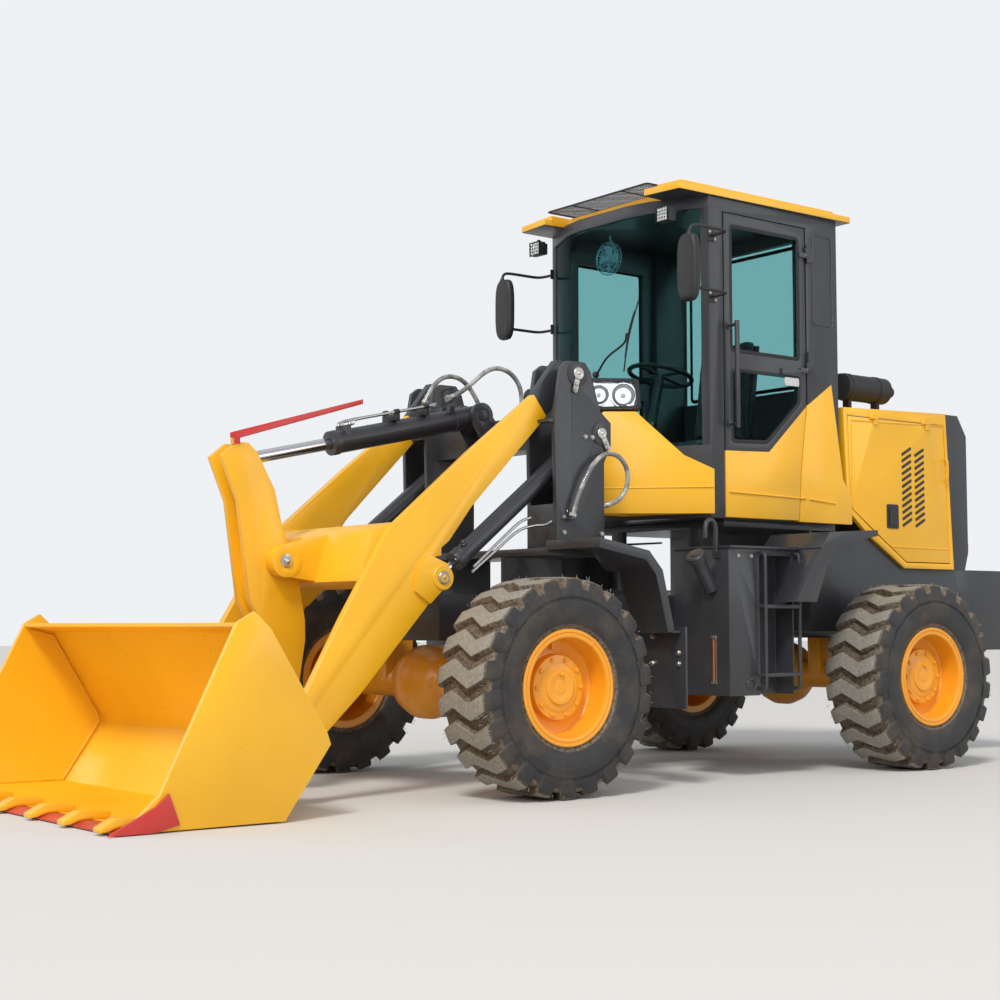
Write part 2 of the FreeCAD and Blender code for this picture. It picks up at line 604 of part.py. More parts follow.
# Roof: a slab with two horns in front, a raised crown, and a mesh visor between the horns.
node("cab_roof", fuse(
    "RoofForm",
    plate("RoofSlab", [("-720", "1240"), ("720", "1240"), ("704", "-178"), ("443", "-207"), ("430", "-30"),
                       ("-430", "-30"), ("-443", "-207"), ("-704", "-178")],
          "roof_low", "roof_low + roof_edge", "plan"),
    plate("RoofCrown", [("-650", "1170"), ("650", "1170"), ("650", "-110"), ("470", "-130"), ("470", "20"),
                        ("-470", "20"), ("-470", "-130"), ("-650", "-110")],
          "roof_low + roof_edge - 5", "roof_low + roof_edge + roof_crown", "plan"),
))
visor_low = "roof_low + roof_edge + roof_crown"
visor = [cut("VisorFrame",
             box("VisorPlate", ("-450", "450"), ("-190", "60"), (visor_low, visor_low + " + 12")),
             box("VisorInside", ("-436", "436"), ("-176", "46"), (visor_low + " - 5", visor_low + " + 20")))]
for i in range(-5, 6):
    visor.append(box("VisorRod%d" % (i + 5), ("%d" % (i * 72 - 4), "%d" % (i * 72 + 4)), ("-180", "50"),
                     (visor_low + " + 2", visor_low + " + 10")))
for i, along in enumerate((-130, -65, 0)):
    visor.append(box("VisorBar%d" % i, ("-440", "440"), ("%d" % along, "%d" % (along + 8)),
                     (visor_low + " + 2", visor_low + " + 10")))
node("sun_visor", fuse("VisorForm", *visor))

# Inside the cab.


def seat_back_line(level):
    """The seat back's slope: its place along Y at a height."""
    return "840 + (%s - deck_top - 330) * 115 / 790" % level


node("seat_base", fuse(
    "SeatBaseForm",
    box("SeatFoot", ("-160", "160"), ("500", "800"), ("deck_top + 40", "deck_top + 330")),
    box("SeatPan", ("-220", "220"), ("450", "850"), ("deck_top + 330", "deck_top + 370")),
    plate("SeatBackPlate", [
        ("840", "deck_top + 330"), ("885", "deck_top + 330"), (seat_back_line("2560") + " + 30", "2560"),
        (seat_back_line("2560"), "2560")], "-200", "200"),
))
node("seat_cushion",
     box("SeatPad", ("-230", "230"), ("430", "840"), ("deck_top + 370.3", "deck_top + 500")),
     plate("SeatBack", [
         (seat_back_line("1950") + " - 92", "1950"), (seat_back_line("1950") + " - hinge_play", "1950"),
         (seat_back_line("2600") + " - hinge_play", "2600"), (seat_back_line("2600") + " - 90", "2600")],
           "-220", "220"))
wheel_turn = FreeCAD.Placement(FreeCAD.Vector(0, 170, 1700), FreeCAD.Rotation(FreeCAD.Vector(1, 0, 0), -14))
steering_wheel = doc.addObject("Part::Torus", "SteeringRing")
steering_wheel.Radius1 = 190
steering_wheel.Radius2 = 14
steering_wheel.Placement.Base.z = 660
steering_post = fuse("SteeringPost", steering_wheel, bar("SteeringShaft", "z", "28", "0", "660", "0", "0"),
                     bar("SteeringSpokeAcross", "x", "11", "-185", "185", "0", "660"),
                     bar("SteeringSpokeAlong", "y", "11", "-185", "185", "0", "660"))
steering_post.Placement = wheel_turn
node("steering_column", fuse(
    "SteeringForm", steering_post,
    box("SteeringConsole", ("-170", "170"), ("-60", "230"), ("deck_top + 40", "deck_top + 420"))))
node("control_box", box("ControlBox", ("-560", "-290"), ("420", "860"), ("deck_top + 40", "deck_top + 480")))

# Lamps: headlamps along the shoulders, work lamps under the roof's horns, small tail lamps.
headlamp = doc.addObject("Part::Box", "Headlamp")
headlamp.Length = 351
headlamp.Width = 120
headlamp.Height = 195
headlamp.Placement = FreeCAD.Placement(FreeCAD.Vector(379.7, -180.8, 0), shoulder_turn)
bind(headlamp, "Placement.Base.z", "lamp_foot")
work_lamp = fuse(
    "WorkLamp",
    box("WorkLampBody", ("520", "616"), ("-190", "-110"), ("roof_low - 165", "roof_low - 80")),
    box("WorkLampFoot", ("560", "576"), ("-150", "-135"), ("roof_low - 85", "roof_low")))
node("lamps",
     pair("Headlamps", headlamp),
     pair("WorkLamps", work_lamp),
     pair("TailLamps", box("TailLamp", ("540", "590"), ("hood_rear + 237", "hood_rear + 260"),
                           ("hood_low + 120", "hood_low + 180"))))
mirror_arm = [
    box("MirrorArmOut", ("cab_half", "845"), ("70", "88"), ("3030", "3048")),
    box("MirrorArmForward", ("827", "845"), ("-240", "88"), ("3030", "3048")),
    box("MirrorArmDown", ("827", "845"), ("-240", "-222"), ("2960", "3048")),
    box("MirrorLowerOut", ("cab_half", "845"), ("70", "88"), ("2680", "2698")),
    box("MirrorLowerForward", ("827", "845"), ("-215", "88"), ("2680", "2698")),
    box("MirrorHousing", ("740", "895"), ("-250", "-205"), ("2610", "2990")),
]
node("mirrors", pair("Mirrors", fuse("MirrorForm", *mirror_arm)))
node("grab_rail", fuse(
    "GrabRail",
    bar("GrabRailBar", "z", "14", "1950", "2560", "cab_half + 65", "215"),
    box("GrabRailTop", ("cab_half", "cab_half + 65"), ("207", "223"), ("2530", "2546")),
    box("GrabRailFoot", ("cab_half", "cab_half + 65"), ("207", "223"), ("1964", "1980"))))

# Tanks with a ladder on each side, and the rear fenders that spring from them.
rungs = [
    box("Rung%d" % level, ("800", "1000"), ("155", "452"), ("%d" % level, "%d" % (level + 20)))
    for level in (555, 930)
]
tank = fuse(
    "Tank",
    box("TankBody", ("tank_inner", "tank_outer"), ("tank_front", "167"), ("tank_low", "tank_top")),
    box("TankBack", ("tank_inner", "820"), ("150", "452"), ("tank_low", "tank_top")),
    box("TankRib", ("800", "tank_outer"), ("428", "440"), ("tank_low", "tank_top")),
    box("TankBeam", ("tank_inner", "tank_outer"), ("150", "452"), ("tank_top - 46", "tank_top")),
    *rungs)
node("tanks", pair("Tanks", tank))
fender_leg = [("281", "965"), ("489", "1264"), ("557", "1355"), ("555", "1335"), ("505", "1266"), ("296", "965")]
fender_top = [("484", "tank_top"), ("557", "1355"), ("967", "1379"), ("967", "1367"), ("565", "1343"),
              ("503", "tank_top")]
fender_flange = [("281", "965"), ("489", "1264"), ("557", "1355"), ("967", "1379"), ("967", "1345"),
                 ("637", "1290"), ("540", "1180"), ("442", "965")]
node("rear_fenders", pair("RearFenders", fuse(
    "RearFender",
    plate("RearFenderLeg", fender_leg, "tank_outer + 5", "fender_outer"),
    plate("RearFenderTop", fender_top, "cab_half - 20", "fender_outer"),
    plate("RearFenderFlange", fender_flange, "fender_outer - fender_sheet", "fender_outer"),
    box("RearFenderFoot", ("cab_half - 20", "tank_outer"), ("425", "500"), ("tank_top", "tank_top + 12")),
)))


# Front frame: wall, fork plates on the pivot pins, rails over the axle, and the shelf that carries the tower.
fork_levels = [
    ("UpperForkLow", "lug_upper - fork_gap - fork_plate", "lug_upper - fork_gap"),
    ("UpperForkHigh", "lug_upper + lug_plate + fork_gap", "lug_upper + lug_plate + fork_gap + fork_plate"),
    ("LowerForkLow", "lug_lower - fork_gap - fork_plate", "lug_lower - fork_gap"),
    ("LowerForkHigh", "lug_lower + lug_plate + fork_gap", "lug_lower + lug_plate + fork_gap + fork_plate"),
]
front_parts = [pivot_tongue(name, "-front_wall", low, high) for name, low, high in fork_levels]
front_parts += [
    bar("UpperPin", "z", "pivot_pin", fork_levels[0][1], fork_levels[1][2], "0", "0"),
    bar("LowerPin", "z", "pivot_pin", fork_levels[2][1], fork_levels[3][2], "0", "0"),
    frame_wall("FrontWallPlate", "-front_wall - wall_plate", "-front_wall", fork_levels[2][1],
               fork_levels[1][2]),
    pair("FrontRails", box("FrontRail", ("rail_inner", "rail_outer"), ("-1560", "-front_wall"),
                           ("pad_top", "rail_top"))),
    pair("FrontCheeks", box("FrontCheek", ("rail_inner", "rail_outer"), ("-1130", "-735"),
                            ("rail_top - 10", "shelf_top"))),
    box("Shelf", ("-700", "700"), ("-1130", "-735"), ("shelf_top - 40", "shelf_top")),
    box("FrontCrossPlate", ("-rail_outer", "rail_outer"), ("-1560", "-1530"), ("pad_top", "rail_top")),
    pair("SteerEyePlates", fuse(
        "SteerEyePlate",
        box("SteerEyeUpper", ("150", "steer_rod_x + 40"), ("-front_wall - 105", "-front_wall - 5"),
            ("steer_z + 40", "pad_top + 5")),
        box("SteerEyeLower", ("150", "steer_rod_x + 40"), ("-front_wall - 105", "-front_wall - 5"),
            ("steer_z - 65", "steer_z - 40")))),
]
node("front_frame", fuse("FrontFrameForm", *front_parts))

# Tower: two plates on each side hold the boom's pin and the lift cylinder; a cross box joins them.
tower_outline = [
    ("-1070", "shelf_top"), ("-1070", "1488"), ("-1081", "1926"), ("-1032", "2190"), ("-985", "2225"),
    ("-870", "2225"), ("-831", "2179"), ("-763", "1971"), ("-690", "1915"), ("-690", "1790"),
    ("-739", "1700"), ("-739", "shelf_top"),
]
inner_span = ("tower_inner", "tower_inner + tower_plate")
outer_span = ("tower_outer", "tower_outer + tower_plate")
tilt_ear = fuse(
    "TiltEar",
    plate("TiltEarPlate", [at("tilt_base", "0", "70"), ("-1000", "1955"), ("-1000", "1790"), ("-1040", "1790"),
                           at("tilt_base", "-60", "-40")], "68", "96"),
    pin("TiltEarBoss", "tilt_base", "70", "68", "96"))
side_bore = pair("BoomBores", pin("BoomBore", "boom", "boom_pin + fit_gap", "tower_inner - 20",
                                  "tower_outer + tower_plate + 20"))
node("loader_tower", cut(
    "TowerForm",
    fuse("TowerSolid",
         pair("TowerPlates", group("TowerPlatesLeft", plate("TowerInner", tower_outline, *inner_span),
                                   plate("TowerOuter", tower_outline, *outer_span))),
         pair("TowerBacks", box("TowerBack", ("tower_inner + 10", "tower_outer + 10"), ("-754", "-739"),
                                ("shelf_top", "1690"))),
         pair("TowerFronts", box("TowerFront", ("tower_inner + 10", "tower_outer + 10"), ("-1070", "-1055"),
                                 ("shelf_top", "1470"))),
         box("TowerCross", ("-tower_inner - 10", "tower_inner + 10"), ("-1010", "-830"), ("1780", "1960")),
         box("HoseBracket", ("85", "140"), ("-870", "-800"), ("1955", "1968")),
         box("HoseClamp", ("tower_outer + 20", "740"), ("-1012", "-962"), ("1385", "1400")),
         pair("TiltEars", tilt_ear)),
    side_bore,
    pair("LiftBores", pin("LiftBore", "lift_base", "lift_pin + fit_gap", "tower_inner - 20",
                          "tower_outer + tower_plate + 20")),
    pin("TiltBore", "tilt_base", "tilt_pin + fit_gap", "-110", "110")))

# Front fenders: a level skin that turns down behind the wheel, with a rim; flaps hang from its end.
fender_line = [("-1145", "1275"), ("-812", "1217"), ("-720", "1120"), ("-640", "811")]
fender_under = [("-652", "808"), ("-731", "1114"), ("-818", "1206"), ("-1145", "1263")]
front_fender = fuse(
    "FrontFender",
    plate("FenderSkin", fender_line + fender_under, "800", "fender_outer"),
    plate("FenderInner", fender_line[:2] + [("-735", "1136"), ("-735", "1122"), ("-818", "1206"),
                                            ("-1145", "1263")], "700", "810"),
    plate("FenderRim", fender_line + [("-685", "800"), ("-765", "1096"), ("-835", "1172"), ("-1145", "1225")],
          "fender_outer - fender_sheet", "fender_outer"),
    box("FenderLip", ("700", "fender_outer"), ("-1145", "-1133"), ("1227", "1270")),
    plate("FenderTail", [("-652", "808"), ("-640", "811"), ("-586", "811"), ("-586", "799"), ("-650", "799")],
          "866", "fender_outer - 10"))
flap = plate("Flap", [("866", "830"), ("fender_outer + 23", "830"), ("fender_outer + 23", "410"),
                      ("800", "410"), ("800", "700"), ("866", "740")], "-586", "-574", "front")
node("front_fenders", pair("FrontFenders", fuse("FenderAndFlap", front_fender, flap)))


# Loader arms, cross member, brackets for the rocker, cheeks over the lift cylinders' eyes.
arm = fuse(
    "Arm",
    plate("ArmPlate", [
        at("boom", "15", "74"), at("boom", "-60", "79"), ("-1142", "2040"), ("-1561", "1715"), ("-2049", "1308"),
        ("-2318", "870"), ("-2499", "547"), at("bucket", "-99", "10"), at("bucket", "-40", "-91"),
        at("bucket", "20", "-98"), ("-2219", "508"), ("-2047", "696"), ("-1886", "869"), ("-1742", "1022"),
        ("-1738", "1170"), ("-1738", "1226"), ("-1690", "1262"), ("-1549", "1439"), ("-1115", "1877"),
        at("boom", "60", "-30"),
    ], "arm_inner", "arm_inner + arm_plate"),
    pin("ArmHeel", "boom", "boom_boss", "arm_inner", "arm_inner + arm_plate"),
    pin("ArmEnd", "bucket", "arm_end", "arm_inner", "arm_inner + arm_plate"))
arm_cut = cut("ArmCut", arm, pin("EyeRecess", "lift_eye", "110", "arm_inner - 5", "arm_inner + arm_plate + 5"))
cheek_outline = [at("lift_eye", "55", "-30"), at("lift_eye", "0", "-60"), at("lift_eye", "-75", "-130"),
                 at("lift_eye", "-165", "-70"), at("lift_eye", "-155", "45"), at("lift_eye", "-75", "110"),
                 at("lift_eye", "30", "70")]
cheeks = [
    plate("CheekInner", cheek_outline, "arm_inner - ear_plate", "arm_inner"),
    plate("CheekOuter", cheek_outline, "arm_inner + arm_plate", "arm_inner + arm_plate + ear_plate"),
    pin("CheekPinHead", "lift_eye", "lift_pin", "arm_inner + arm_plate + 10",
        "arm_inner + arm_plate + ear_plate + 14"),
]
bracket = fuse(
    "RockerBracket",
    plate("RockerBracketPlate", [
        ("-2026", "1344"), ("-2110", "1300"), at("rocker", "-30", "78"), at("rocker", "-80", "20"),
        at("rocker", "-70", "-45"), at("rocker", "20", "-80"), ("-2190", "1060"), ("-2080", "1060"),
    ], "rocker_half + 40", "rocker_half + 70"),
    pin("RockerBracketBoss", "rocker", "82", "rocker_half + 12", "rocker_half + 76"))
boom_solid = fuse(
    "BoomSolid",
    pair("Arms", arm_cut), *[pair(cheek.Name + "s", cheek) for cheek in cheeks],
    plate("CrossMember", [("-1880", "1330"), ("-2010", "1345"), ("-2119", "1300"), ("-2195", "1055"),
                          ("-2080", "1020"), ("-1900", "1150")], "-arm_inner - 5", "arm_inner + 5"),
    pair("RockerBrackets", bracket),
    pair("BoomPins", pin("BoomPin", "boom", "boom_pin", "tower_inner", "tower_outer + tower_plate + 6")))
bucket_bore = pair("BucketBores", pin("BucketBore", "bucket", "bucket_pin + fit_gap", "arm_inner - 20",
                                      "arm_inner + arm_plate + 20"))
rocker_bore = pin("RockerBore", "rocker", "rocker_pin + fit_gap", "-rocker_half - 100", "rocker_half + 100")
node("boom", cut("BoomForm", boom_solid, bucket_bore, rocker_bore))
node("rocker_pin", pin("RockerPin", "rocker", "rocker_pin", "-rocker_half - 80", "rocker_half + 80"))
node("bucket_pins", pair("BucketPinPair", pin("BucketPin", "bucket", "bucket_pin", "arm_inner - ear_gap - 42",
                                              "arm_inner + arm_plate + ear_gap + 42")))

# Rocker: two cheeks joined by a web at its pivot; the tilt rod's eye works above, the bucket link below.
rocker_outline = [
    at("rod_top", "-41", "86"), at("rod_top", "-129", "15"), ("-2597", "1457"), ("-2524", "965"),
    ("-2461", "867"), at("link_low", "-62", "0"), at("link_low", "-30", "-58"), at("link_low", "30", "-58"),
    at("link_low", "62", "0"), ("-2205", "767"), ("-2207", "867"), at("rocker", "93", "20"),
    ("-2339", "1317"), ("-2387", "1516"), at("rod_top", "70", "40"), at("rod_top", "20", "86"),
]
rocker_web = [("-2500", "1400"), ("-2510", "1000"), ("-2450", "880"), ("-2215", "880"),
              at("rocker", "85", "20"), ("-2339", "1317"), ("-2360", "1400")]
indicator = [
    box("IndicatorFoot", ("rocker_half - rocker_cheek", "rocker_half + 5"), ("-2625", "-2590"),
        ("1735", "1790")),
    plate("IndicatorBar", [("-2640", "1765"), ("-2640", "1790"), ("-1866", "2015"), ("-1866", "1990"),
                           ("-2600", "1762")], "rocker_half - 9", "rocker_half + 5"),
]
node("rocker", cut(
    "RockerForm",
    fuse("RockerSolid",
         pair("RockerCheeks", plate("RockerCheek", rocker_outline, "rocker_half - rocker_cheek", "rocker_half")),
         plate("RockerWeb", rocker_web, "-rocker_half + 10", "rocker_half - 10"),
         pin("RockerBoss", "rocker", "rocker_boss - 15", "-rocker_half - 6", "rocker_half + 6"),
         *indicator),
    rocker_bore))

# Bucket: bent plates between two sides, ears for the arms and the link, cutting edge and teeth.
bucket_shell = [
    ("-3640", "4"), ("-2948", "8"), ("-2720", "324"), ("-2738", "373"), ("-3023", "825"), ("-3188", "853"),
    ("-3188", "835"), ("-3032", "808"), ("-2757", "370"), ("-2742", "327"), ("-2957", "26"), ("-3640", "30"),
]
bucket_side = [("-3600", "8"), ("-2948", "8"), ("-2720", "324"), ("-2738", "373"), ("-3023", "825"),
               ("-3104", "900"), ("-3188", "853"), ("-3534", "155"), ("-3640", "60")]
arm_ear = [at("bucket", "0", "85"), ("-2804", "466"), ("-2748", "374"), ("-2731", "326"), ("-2858", "150"),
           at("bucket", "-30", "-85"), at("bucket", "55", "-65"), at("bucket", "85", "0"),
           at("bucket", "60", "60")]
link_ear = [at("link_far", "-20", "62"), ("-2826", "500"), ("-2748", "374"), at("link_far", "10", "-60"),
            at("link_far", "55", "-25"), at("link_far", "50", "40")]
ears = []
for name, low, high in (
        ("ArmEarInner", "arm_inner - ear_gap - 38", "arm_inner - ear_gap"),
        ("ArmEarOuter", "arm_inner + arm_plate + ear_gap", "arm_inner + arm_plate + ear_gap + 38")):
    ears.append(pair(name + "s", plate(name, arm_ear, low, high)))
ears.append(pair("LinkEars", plate("LinkEar", link_ear, "link_half + 6", "link_half + 34")))
corner_shoe = plate("CornerShoe", [("-front_reach", "4"), ("-3560", "4"), ("-3450", "30"), ("-3500", "160"),
                                   ("-3560", "110")], "bucket_half", "bucket_half + 14")
node("bucket", cut(
    "BucketForm",
    fuse("BucketSolid",
         plate("BucketShell", bucket_shell, "-bucket_half + 5", "bucket_half - 5"),
         pair("BucketSides", plate("BucketSide", bucket_side, "bucket_half - bucket_side", "bucket_half")),
         *ears),
    pair("EarBores", pin("EarBore", "bucket", "bucket_pin + fit_gap", "arm_inner - 80",
                         "arm_inner + arm_plate + 80")),
    pin("LinkBore", "link_far", "link_pin + fit_gap", "-link_half - 60", "link_half + 60")))
node("cutting_edge", fuse(
    "EdgeForm",
    plate("EdgePlate", [("-3640", "4"), ("-3640", "30"), ("-3690", "30"), ("-3730", "12"), ("-3730", "4")],
          "-bucket_half", "bucket_half"),
    pair("CornerShoes", corner_shoe)))
tooth = [("-front_reach", "31"), ("-3700", "68"), ("-3560", "60"), ("-3560", "30"), ("-3690", "30"),
         ("-3735", "16"), ("-front_reach", "12")]
node("bucket_teeth", *[
    plate("Tooth%d" % (i + 3), tooth, "%d * tooth_pitch - 35" % i, "%d * tooth_pitch + 35" % i)
    for i in range(-3, 4)])
node("link_pin", fuse(
    "LinkPinForm",
    pin("LinkPin", "link_far", "link_pin", "-link_half - 40", "link_half + 40"),
    pair("LinkPinHeads", pin("LinkPinHead", "link_far", "link_pin_head", "link_half + 35", "link_half + 60"))))
node("tilt_link", cut(
    "TiltLinkForm",
    fuse("TiltLinkSolid",
         plate("TiltLinkBar", [at("link_low", "0", "40"), at("link_low", "0", "-40"), at("link_far", "0", "-40"),
                               at("link_far", "0", "40")], "-link_half", "link_half"),
         pin("TiltLinkLow", "link_low", "link_boss", "-link_half", "link_half"),
         pin("TiltLinkFar", "link_far", "link_boss", "-link_half", "link_half")),
    pin("TiltLinkBore", "link_far", "link_pin + fit_gap", "-link_half - 10", "link_half + 10")))


# Hydraulic cylinders, drawn upright from the base pin at the origin and laid between their two pins.

def hypotenuse(first, second):
    return "sqrt((%s - (%s)) ^ 2 + (%s - (%s)) ^ 2)" % (first[0], second[0], first[1], second[1])


def cylinder(name, reach, barrel, rod, pin_radius, length, rod_start, eye, half, pin_half):
    """Barrel with its base eye and pin; rod with its eye, closed and clear of its own pin."""
    bore = bar(name + "_bore", "z", rod + " + fit_gap", "%s + 20" % eye, length + " + 5", "0", "0")
    barrel_form = cut(name + "_barrel_form", fuse(
        name + "_barrel_solid",
        bar(name + "_base_eye", "x", eye, "-" + half, half, "0", "0"),
        bar(name + "_base_pin", "x", pin_radius, "-" + pin_half, pin_half, "0", "0"),
        bar(name + "_tube", "z", barrel, "0", length + " - 30", "0", "0"),
        bar(name + "_gland", "z", barrel + " + 4", length + " - 40", length, "0", "0")), bore)
    rod_form = fuse(
        name + "_rod_solid",
        bar(name + "_rod", "z", rod, rod_start, reach, "0", "0"),
        bar(name + "_rod_eye", "x", eye, "-" + half, half, "0", reach))
    return barrel_form, rod_form


def laid(name, form, placement):
    placed = group(name, form)
    placed.Placement = placement
    return placed


def side_placement(base, end, across="0"):
    """From one side-view pin to another: the cylinder's own Z turned toward the far pin."""
    run = value(end[0]) - value(base[0])
    rise = value(end[1]) - value(base[1])
    angle = math.degrees(math.atan2(-run, rise))
    return FreeCAD.Placement(FreeCAD.Vector(value(across), value(base[0]), value(base[1])),
                             FreeCAD.Rotation(FreeCAD.Vector(1, 0, 0), angle))


lift = spots["lift_base"], spots["lift_eye"]
tilt = spots["tilt_base"], spots["rod_top"]
lift_forms = cylinder("Lift", hypotenuse(*lift), "lift_barrel", "lift_rod", "lift_pin", "lift_length", "80",
                      "45", "22", "(tower_outer - lift_x + tower_plate + 4)")
tilt_forms = cylinder("Tilt", hypotenuse(*tilt), "tilt_barrel", "tilt_rod", "tilt_pin", "tilt_length", "165",
                      "60", "38", "100")
for side, side_name in ((1, "left"), (-1, "right")):
    for kind, form in zip(("barrel", "rod"), lift_forms):
        placement = side_placement(lift[0], lift[1], "%d * lift_x" % side)
        node("lift_%s_%s" % (kind, side_name), laid("Lift_%s_%s" % (kind, side_name), form, placement))
for kind, form in zip(("barrel", "rod"), tilt_forms):
    node("tilt_%s" % kind, laid("Tilt_%s" % kind, form, side_placement(*tilt)))
steer = ("steer_x", "steer_base_y"), ("steer_rod_x", "steer_rod_y")
steer_forms = cylinder("Steer", hypotenuse(*steer), "steer_barrel", "steer_rod", "steer_pin", "steer_length",
                       "300", "38", "30", "64")
for side, side_name in ((1, "left"), (-1, "right")):
    toward = FreeCAD.Vector(side * (value("steer_rod_x") - value("steer_x")),
                            value("steer_rod_y") - value("steer_base_y"), 0)
    flat = FreeCAD.Rotation(FreeCAD.Vector(0, 0, 1), FreeCAD.Vector(), toward, "ZXY")
    base = FreeCAD.Vector(side * value("steer_x"), value("steer_base_y"), value("steer_z"))
    for kind, form in zip(("barrel", "rod"), steer_forms):
        node("steer_%s_%s" % (kind, side_name),
             laid("Steer_%s_%s" % (kind, side_name), form, FreeCAD.Placement(base, flat)))


# Hoses that spring free from the tower: two arches over the tilt cylinder's base, and a loop at the left side.

def hose(name, radius, route):
    """A round hose along straight runs joined by tangent arcs."""
    corners = [FreeCAD.Vector(*point) for point in route]
    start, edges, radii = corners[0], [], []
    for before, corner, after in zip(corners, corners[1:], corners[2:]):
        into, out = corner - before, after - corner
        reach = 0.45 * min(into.Length, out.Length)
        half_turn = into.getAngle(out) / 2
        radii.append(reach / math.tan(half_turn))
        first = corner - FreeCAD.Vector(into).normalize() * reach
        last = corner + FreeCAD.Vector(out).normalize() * reach
        inward = ((first + last) * 0.5 - corner).normalize()
        middle = corner + inward * (radii[-1] / math.cos(half_turn) - radii[-1])
        edges += [Part.LineSegment(start, first).toShape(), Part.Arc(first, middle, last).toShape()]
        start = last
    edges.append(Part.LineSegment(start, corners[-1]).toShape())
    path = Part.Wire(edges)
    section = Part.Wire([Part.makeCircle(radius, corners[0], corners[1] - corners[0])])
    tube = doc.addObject("Part::Feature", name)
    tube.Shape = path.makePipeShell([section], True, True)
    share = tube.Shape.Volume / (math.pi * radius ** 2 * path.Length)
    print("%s: %d mm long, least radius %d mm, volume share %.3f" % (name, path.Length, min(radii), share))
    return tube


# Each route runs from its free end by the cylinder to its bracket on the tower.
hose_routes = {
    "tilt_hose_left": [
        (88, -1335, 2055), (88, -1250, 2092), (90, -1165, 2155), (94, -1085, 2222), (98, -1026, 2251),
        (102, -962, 2254), (106, -902, 2231), (109, -857, 2186), (111, -834, 2126), (112, -833, 2051),
        (112, -828, 1968)],
    "tilt_hose_right": [
        (-88, -1354, 2046), (-88, -1325, 2110), (-88, -1285, 2163), (-90, -1232, 2203), (-93, -1168, 2218),
        (-96, -1105, 2208), (-99, -1050, 2176), (-102, -1006, 2129), (-105, -968, 2074), (-107, -936, 2015),
        (-108, -910, 1960)],
    "lift_hose": [
        (722, -987, 1400), (724, -966, 1468), (727, -936, 1537), (730, -902, 1604), (731, -862, 1668),
        (730, -808, 1722), (727, -740, 1750), (723, -666, 1742), (717, -607, 1699), (708, -578, 1633),
        (696, -584, 1564), (684, -622, 1509), (672, -682, 1480), (663, -741, 1477)],
}
for name, route in hose_routes.items():
    node(name, hose(name + "_form", sizes["hose_radius"], route))

doc.recompute()
failed = [piece.Name for piece in doc.Objects if "Invalid" in piece.State or "Error" in piece.State]
for piece in nodes:
    if piece.Shape.isNull() or not piece.Shape.isValid() or not piece.Shape.Solids:
        failed.append(piece.Label)
if failed:
    raise SystemExit("These did not build: " + ", ".join(failed))

os.makedirs("parts", exist_ok=True)
for piece in nodes:
    piece.Shape.exportStep("parts/%s.step" % piece.Label)
print("%d pieces written" % len(nodes))
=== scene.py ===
import bmesh
import bpy
import json
import math
import random
from mathutils import Matrix, Quaternion, Vector


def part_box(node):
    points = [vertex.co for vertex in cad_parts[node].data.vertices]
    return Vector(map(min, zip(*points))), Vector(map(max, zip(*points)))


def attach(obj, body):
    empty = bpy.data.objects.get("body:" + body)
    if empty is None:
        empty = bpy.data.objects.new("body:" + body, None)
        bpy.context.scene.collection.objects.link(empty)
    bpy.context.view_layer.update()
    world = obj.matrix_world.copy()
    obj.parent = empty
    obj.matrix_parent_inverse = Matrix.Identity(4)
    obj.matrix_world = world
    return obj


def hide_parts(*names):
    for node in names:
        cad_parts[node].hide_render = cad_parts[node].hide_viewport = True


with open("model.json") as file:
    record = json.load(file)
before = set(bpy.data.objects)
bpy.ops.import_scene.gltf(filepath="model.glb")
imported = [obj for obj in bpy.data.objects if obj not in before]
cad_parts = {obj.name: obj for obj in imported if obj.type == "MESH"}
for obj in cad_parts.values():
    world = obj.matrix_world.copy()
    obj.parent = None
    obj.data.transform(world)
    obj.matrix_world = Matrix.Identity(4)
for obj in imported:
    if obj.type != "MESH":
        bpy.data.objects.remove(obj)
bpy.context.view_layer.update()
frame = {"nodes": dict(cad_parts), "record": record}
cadNodes = frame["nodes"]
bodyOf = {node: body for body, members in frame["record"]["behaviour"]["bodies"].items() for node in members}
pivotY = 0.411  # Y of the joint between the two frames, from which at() counts
bothSides = ((1, "left"), (-1, "right"))
print("frame loaded,", len(cadNodes), "nodes")


def at(x, y, z):
    return Vector((x, y + pivotY, z))


def newObject(name, data):
    made = bpy.data.objects.new(name, data)
    bpy.context.scene.collection.objects.link(made)
    return made


def feed(tree, node, links):
    # a socket takes a link from an output, or else a plain value
    for socket, source in links:
        if hasattr(source, "is_output"):
            tree.links.new(source, node.inputs[socket])
        else:
            node.inputs[socket].default_value = source
    return node


def newNode(tree, kind, links=(), **settings):
    node = tree.nodes.new(kind)
    for key, value in settings.items():
        setattr(node, key, value)
    return feed(tree, node, links)


def addNode(tree, kind, links=(), **settings):
    return newNode(tree, "ShaderNode" + kind, links, **settings)


# camera, floor and light
view = {"place": (7.5522, -6.7917, 0.8436), "turn": -52.0415, "rise": 4.1273, "roll": -0.074, "lens": 62.07,
        "sensor": 36, "clip": 200}


def makeCamera():
    data = bpy.data.cameras.new("photoView")
    data.lens = view["lens"]
    data.sensor_width = view["sensor"]
    data.clip_end = view["clip"]
    camera = newObject("photoView", data)
    turn, rise = math.radians(view["turn"]), math.radians(view["rise"])
    ahead = Vector((math.cos(rise) * math.sin(turn), math.cos(rise) * math.cos(turn), math.sin(rise)))
    camera.location = at(*view["place"])
    camera.rotation_mode = "QUATERNION"
    camera.rotation_quaternion = ahead.to_track_quat("-Z", "Y") @ Quaternion((0, 0, 1), math.radians(view["roll"]))
    bpy.context.scene.camera = camera


